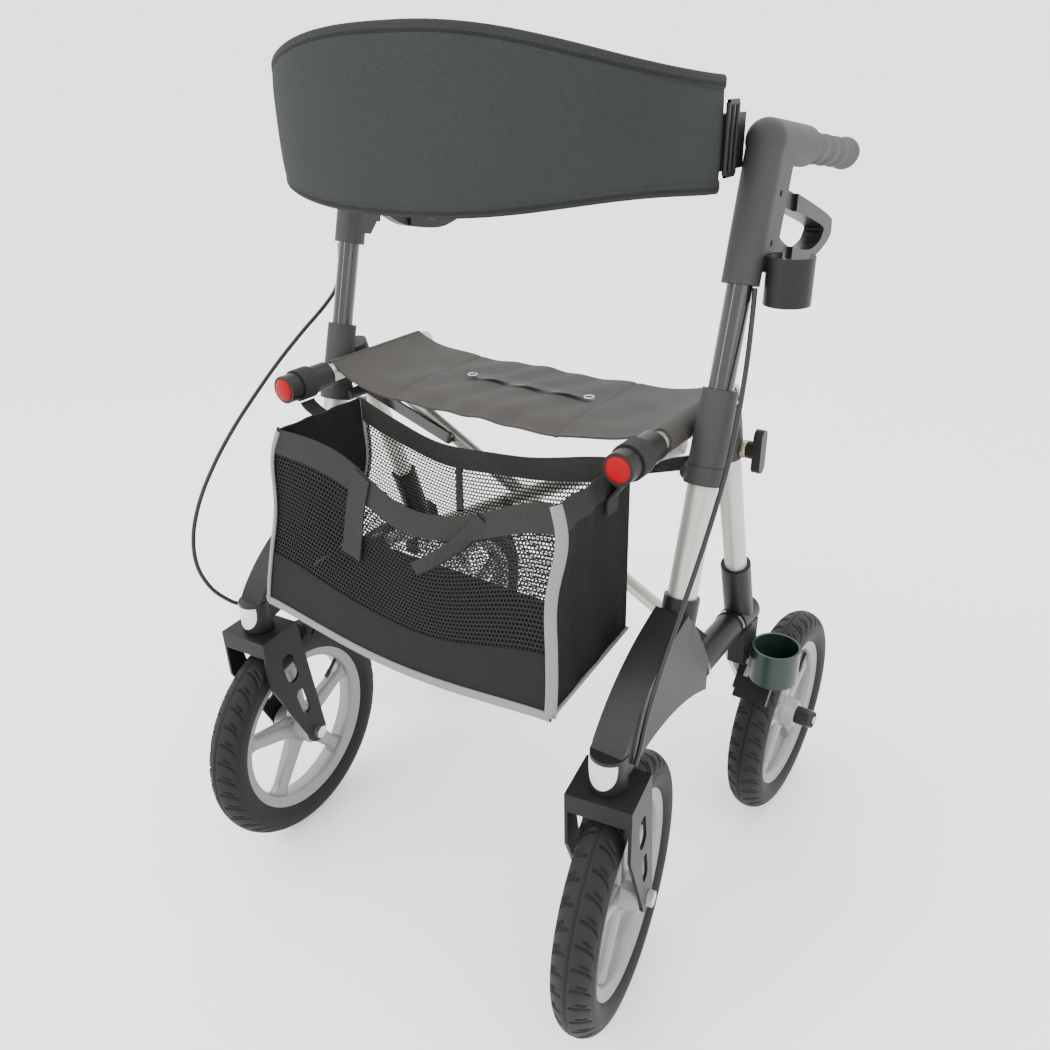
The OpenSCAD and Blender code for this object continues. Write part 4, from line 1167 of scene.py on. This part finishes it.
    def build(self) -> None:
        """Makes the net, the cloth, the rims, the loops, the piping and the straps."""
        net = Form("basket_net", Finishes.NET).add(self.front_panel(low=self.net_low))
        made = self.finish(net.add(self.rear_panel()))
        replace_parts(made, "basket")
        self.finish(self.bag())
        for side in Side:
            self.loop(side).build(rail_body(side))
        self.finish(self.rims())
        self.finish(self.piping())
        self.finish(self.straps())


# Points of the brake cables, from the handle housing to the front arm
LEFT_ROUTE: list[Point] = [
    (-0.2695, -0.005, 0.766), (-0.272, -0.005, 0.750), (-0.277, -0.004, 0.730), (-0.284, -0.008, 0.708),
    (-0.291, -0.026, 0.688), (-0.297, -0.060, 0.664), (-0.301, -0.100, 0.636), (-0.303, -0.140, 0.606),
    (-0.304, -0.180, 0.574), (-0.304, -0.216, 0.540), (-0.303, -0.246, 0.504), (-0.301, -0.266, 0.466),
    (-0.298, -0.272, 0.428), (-0.292, -0.264, 0.394), (-0.283, -0.248, 0.370), (-0.2747, -0.236, 0.360)]
RIGHT_ROUTE: list[Point] = [
    (0.2695, -0.005, 0.766), (0.271, -0.009, 0.750), (0.273, -0.015, 0.730), (0.276, -0.025, 0.705),
    (0.279, -0.038, 0.678), (0.281, -0.052, 0.645), (0.2815, -0.066, 0.612), (0.281, -0.084, 0.578),
    (0.2795, -0.106, 0.540), (0.278, -0.130, 0.504), (0.277, -0.155, 0.470), (0.2765, -0.180, 0.437),
    (0.276, -0.201, 0.402), (0.2758, -0.213, 0.372), (0.2747, -0.219, 0.356)]


@dataclass
class Cable:
    """A brake cable from the handle housing to the front arm.

    Attributes:
        side: Side of the cable.
        route: Points of the route.
        length: Its length from the housing to the arm; not used.
        diameter: Its thickness.
    """

    side: Side
    route: list[Point]
    length: float
    diameter: float = 0.005

    def build(self) -> None:
        """Makes the cable along its route between the frame and the sliding handle."""
        word = self.side.word
        path = smooth_path(self.route)
        form = Form(word + "_cable_look", Finishes.CABLE)
        form.add(sweep(path, oval(self.diameter, self.diameter, 12), (1, 0, 0.2)), ring=True)
        made = form.build()
        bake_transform(made)
        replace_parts(made, word + "_brake_cable")


@dataclass
class ArmLens:
    """The half-round silver reflector on the nose of a front arm.

    Attributes:
        side: Side of the arm.
        base: Height of its lowest point.
        radius: Radius of the nose.
        half_angle: Half the angle that it covers.
        height: Its height.
        thickness: Its thickness.
    """

    side: Side
    base: float = 0.340
    radius: float = 0.0193
    half_angle: float = 0.95
    height: float = 0.030
    thickness: float = 0.0008

    def build(self) -> None:
        """A patch of the round nose, straight above and half round below."""
        u = spread(-1, 1, 41)[:, None]
        v = spread(0, 1, 15)[None]
        low = self.height * 0.75 * (1 - np.sqrt(np.clip(1 - u * u, 0, 1)))
        angle = u * self.half_angle - np.pi / 2
        x = FRAME_X + self.radius * np.cos(angle)
        y = CASTER_Y + self.radius * np.sin(angle)
        grid = self.side.place(points(x, y, self.base + low + (self.height - low) * v))
        form = Form(self.side.word + "_arm_lens", Finishes.SILVER_LENS).add_sheet(grid, self.thickness)
        form.build(self.side.word + "_frame")


@dataclass
class RedLens:
    """The round red reflector in the front end of a rail's sleeve.

    Attributes:
        side: Side of the rail.
        front: Place of its rim.
        radius: Its radius.
        rise: Height of its dome.
        depth: How deep it sits in the sleeve.
    """

    side: Side
    front: float = -0.166
    radius: float = 0.0128
    rise: float = 0.0034
    depth: float = 0.004

    def build(self) -> None:
        """A low dome turned about the rail's axis."""
        away = spread(0, 1, 17)
        dome = np.stack([self.radius * away + 0.00001, self.rise * np.sqrt(1.02 - away**2)], axis=-1)
        x, z, out = np.moveaxis(lathe([*dome, (self.radius, -self.depth)], 48), -1, 0)
        grid = points(self.side.value * RAIL_X + x, self.front - out, RAIL_Z + z)
        form = Form(self.side.word + "_red_lens", Finishes.RED).add(grid, around=True)
        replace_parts(form.build(rail_body(self.side)), self.side.word + "_rail_reflector")


@dataclass
class Cap:
    """A small turned cap, screw or nut that stands out from a side of the object.

    Attributes:
        side: Side that it stands on.
        name: Its name after the side's word.
        body: Name of the body that it rides on, after the side's word.
        finish: Its finish.
        place: Middle of its seat.
        radius: Its radius.
        height: Its height.
        sides: Number of sides; six makes a nut.
    """

    side: Side
    name: str
    body: str
    finish: Finishes
    place: Point
    radius: float
    height: float
    sides: int = 32

    def build(self) -> None:
        """A disc with a rounded rim and a shallow dimple."""
        r, h = self.radius, self.height
        edge = [(r, 0), (r, h * 0.75), (r * 0.93, h)]
        dimple = [(r * 0.45, h), (r * 0.4, h * 0.8), (0.0001, h * 0.8)]
        y, z, out = np.moveaxis(lathe(edge + dimple, self.sides), -1, 0)
        grid = np.array(self.place) + points(self.side.value * out, self.side.value * y, z)
        form = Form(f"{self.side.word}_{self.name}", self.finish).add(grid, around=True)
        form.build(f"{self.side.word}_{self.body}")


def caps(side: Side) -> list[Cap]:
    """The hub cap, the nut of the wing knob and the screws of the handle housing."""
    _, hub_y, hub_z = JOINTS[side.word + "_rear_roll"]["pos_m"]
    _, knob_y, knob_z = JOINTS[side.word + "_knob_turn"]["pos_m"]
    hub = (side.value * 0.3055, hub_y, hub_z)
    nut = (side.value * 0.2696, knob_y, knob_z)
    made = [Cap(side, "hub_cap", "frame", Finishes.CABLE, hub, 0.0125, 0.0237),
            Cap(side, "knob_nut", "knob", Finishes.BRASS, nut, 0.0092, 0.0058, sides=6)]
    for number, (y, z) in enumerate(((0.0195, 0.8023), (0.0318, 0.8446))):
        screw = (side.value * 0.2672, y, z)
        made.append(Cap(side, f"housing_screw_{number}", "handle", Finishes.STEEL, screw, 0.0027, 0.002))
    return made


def aim(made: bpy.types.Object, place: Point, right: Array, back: Array) -> None:
    """Puts a camera or lamp in the scene by its right hand and its back, which is away from its target."""
    matrix = np.eye(4)
    matrix[:3] = np.stack([right, np.cross(back, right), back, place], axis=-1)
    made.matrix_world = matrix.T.tolist()
    bpy.context.scene.collection.objects.link(made)


@dataclass(frozen=True)
class Lamp:
    """A soft rectangular lamp.

    Attributes:
        name: Its name.
        place: Where it stands.
        size: Its width and height.
        power: Its power in watts.
        target: The point that it looks at.
    """

    name: str
    place: Point
    size: tuple[float, float]
    power: float
    target: Point = (0.0, 0.0, 0.5)

    def build(self) -> None:
        """Makes the lamp."""
        data = bpy.data.lights.new(self.name, "AREA")
        data.shape = "RECTANGLE"
        data.size, data.size_y = self.size
        data.energy = self.power
        lamp = bpy.data.objects.new(self.name, data)
        back = unit(np.array(self.place) - np.array(self.target))
        aim(lamp, self.place, unit(np.cross(UP, back)), back)


@dataclass
class Studio:
    """A white room with soft light, and the camera where the photograph was taken.

    Attributes:
        eye: Place of the camera.
        azimuth: Turn of the view from straight ahead.
        elevation: Downward look.
        roll: Turn about the line of sight.
        lens: Focal length on a 36 mm sensor.
        daylight: Strength of the white all round.
        reach: How far the floor reaches each way.
        lamps: The lamps; the narrow one draws a bright line on the tubes.
    """

    eye: Point = (0.575, -0.810, 0.951)
    azimuth: float = math.radians(35.52)
    elevation: float = math.radians(27.0)
    roll: float = math.radians(-1.62)
    lens: float = 30.6
    daylight: float = 2.4
    reach: float = 30.0
    lamps: tuple[Lamp, ...] = (
        Lamp("key_lamp", (-1.6, -1.8, 2.6), (1.6, 1.6), 40.0),
        Lamp("fill_lamp", (2.4, -1.0, 1.8), (1.8, 1.8), 20.0),
        Lamp("top_lamp", (0.3, 1.2, 3.0), (2.0, 2.0), 14.0),
        Lamp("strip_lamp", (-0.56, -1.86, 1.15), (0.10, 1.7), 11.0, target=(0.25, -0.03, 0.75)),
    )

    def camera(self) -> None:
        """Places the camera by its own axes."""
        data = bpy.data.cameras.new("camera")
        data.lens = self.lens
        data.sensor_width = 36.0
        camera = bpy.data.objects.new("camera", data)
        a, e, r = self.azimuth, self.elevation, self.roll
        back = np.array([math.sin(a) * math.cos(e), -math.cos(a) * math.cos(e), math.sin(e)])
        level = np.array([math.cos(a), math.sin(a), 0.0])
        aim(camera, self.eye, level * math.cos(r) + np.cross(back, level) * math.sin(r), back)
        bpy.context.scene.camera = camera

    def room(self) -> None:
        """Makes the white all round and a floor that looks the same."""
        world = bpy.data.worlds.new("white_room")
        world.use_nodes = True
        background = world.node_tree.nodes["Background"]
        background.inputs[0].default_value = (1.0, 1.0, 1.0, 1.0)
        background.inputs[1].default_value = self.daylight
        bpy.context.scene.world = world
        mesh = bpy.data.meshes.new("floor")
        corners = [(-1, -1), (1, -1), (1, 1), (-1, 1)]
        mesh.from_pydata([(x * self.reach, y * self.reach, 0.0) for x, y in corners], [], [(0, 1, 2, 3)])
        graph = Graph("floor_white")
        graph.set(Base_Color=(0.9, 0.9, 0.9, 1.0), Roughness=0.9)
        graph.set(Emission_Color=(1.0, 1.0, 1.0, 1.0), Emission_Strength=0.1 * self.daylight)
        mesh.materials.append(graph.material)
        floor = bpy.data.objects.new("floor", mesh)
        bpy.context.scene.collection.objects.link(floor)

    def build(self) -> None:
        """Makes the room, the lamps and the camera."""
        self.room()
        for lamp in self.lamps:
            lamp.build()
        self.camera()


def main() -> None:
    """Builds every piece in order."""
    logging.basicConfig(level=logging.INFO, format="%(message)s")
    CadFinishes({side.word + "_caster_fork": Finishes.FORK_PAINT for side in Side}).build()
    for side in Side:
        Wheel(side.word + "_front", hub_length=0.060).build()
        Wheel(side.word + "_rear", hub_length=0.050).build()
    for side in Side:
        Grip(side).build()
        ArmLens(side).build()
        RedLens(side).build()
        Buckle(side).build()
    BackBand().build()
    Seat().build()
    Basket().build()
    Cable(Side.LEFT, LEFT_ROUTE, length=0.543).build()
    Cable(Side.RIGHT, RIGHT_ROUTE, length=0.466).build()
    for side in Side:
        for cap in caps(side):
            cap.build()
    Studio().build()


if __name__ == "__main__":
    main()
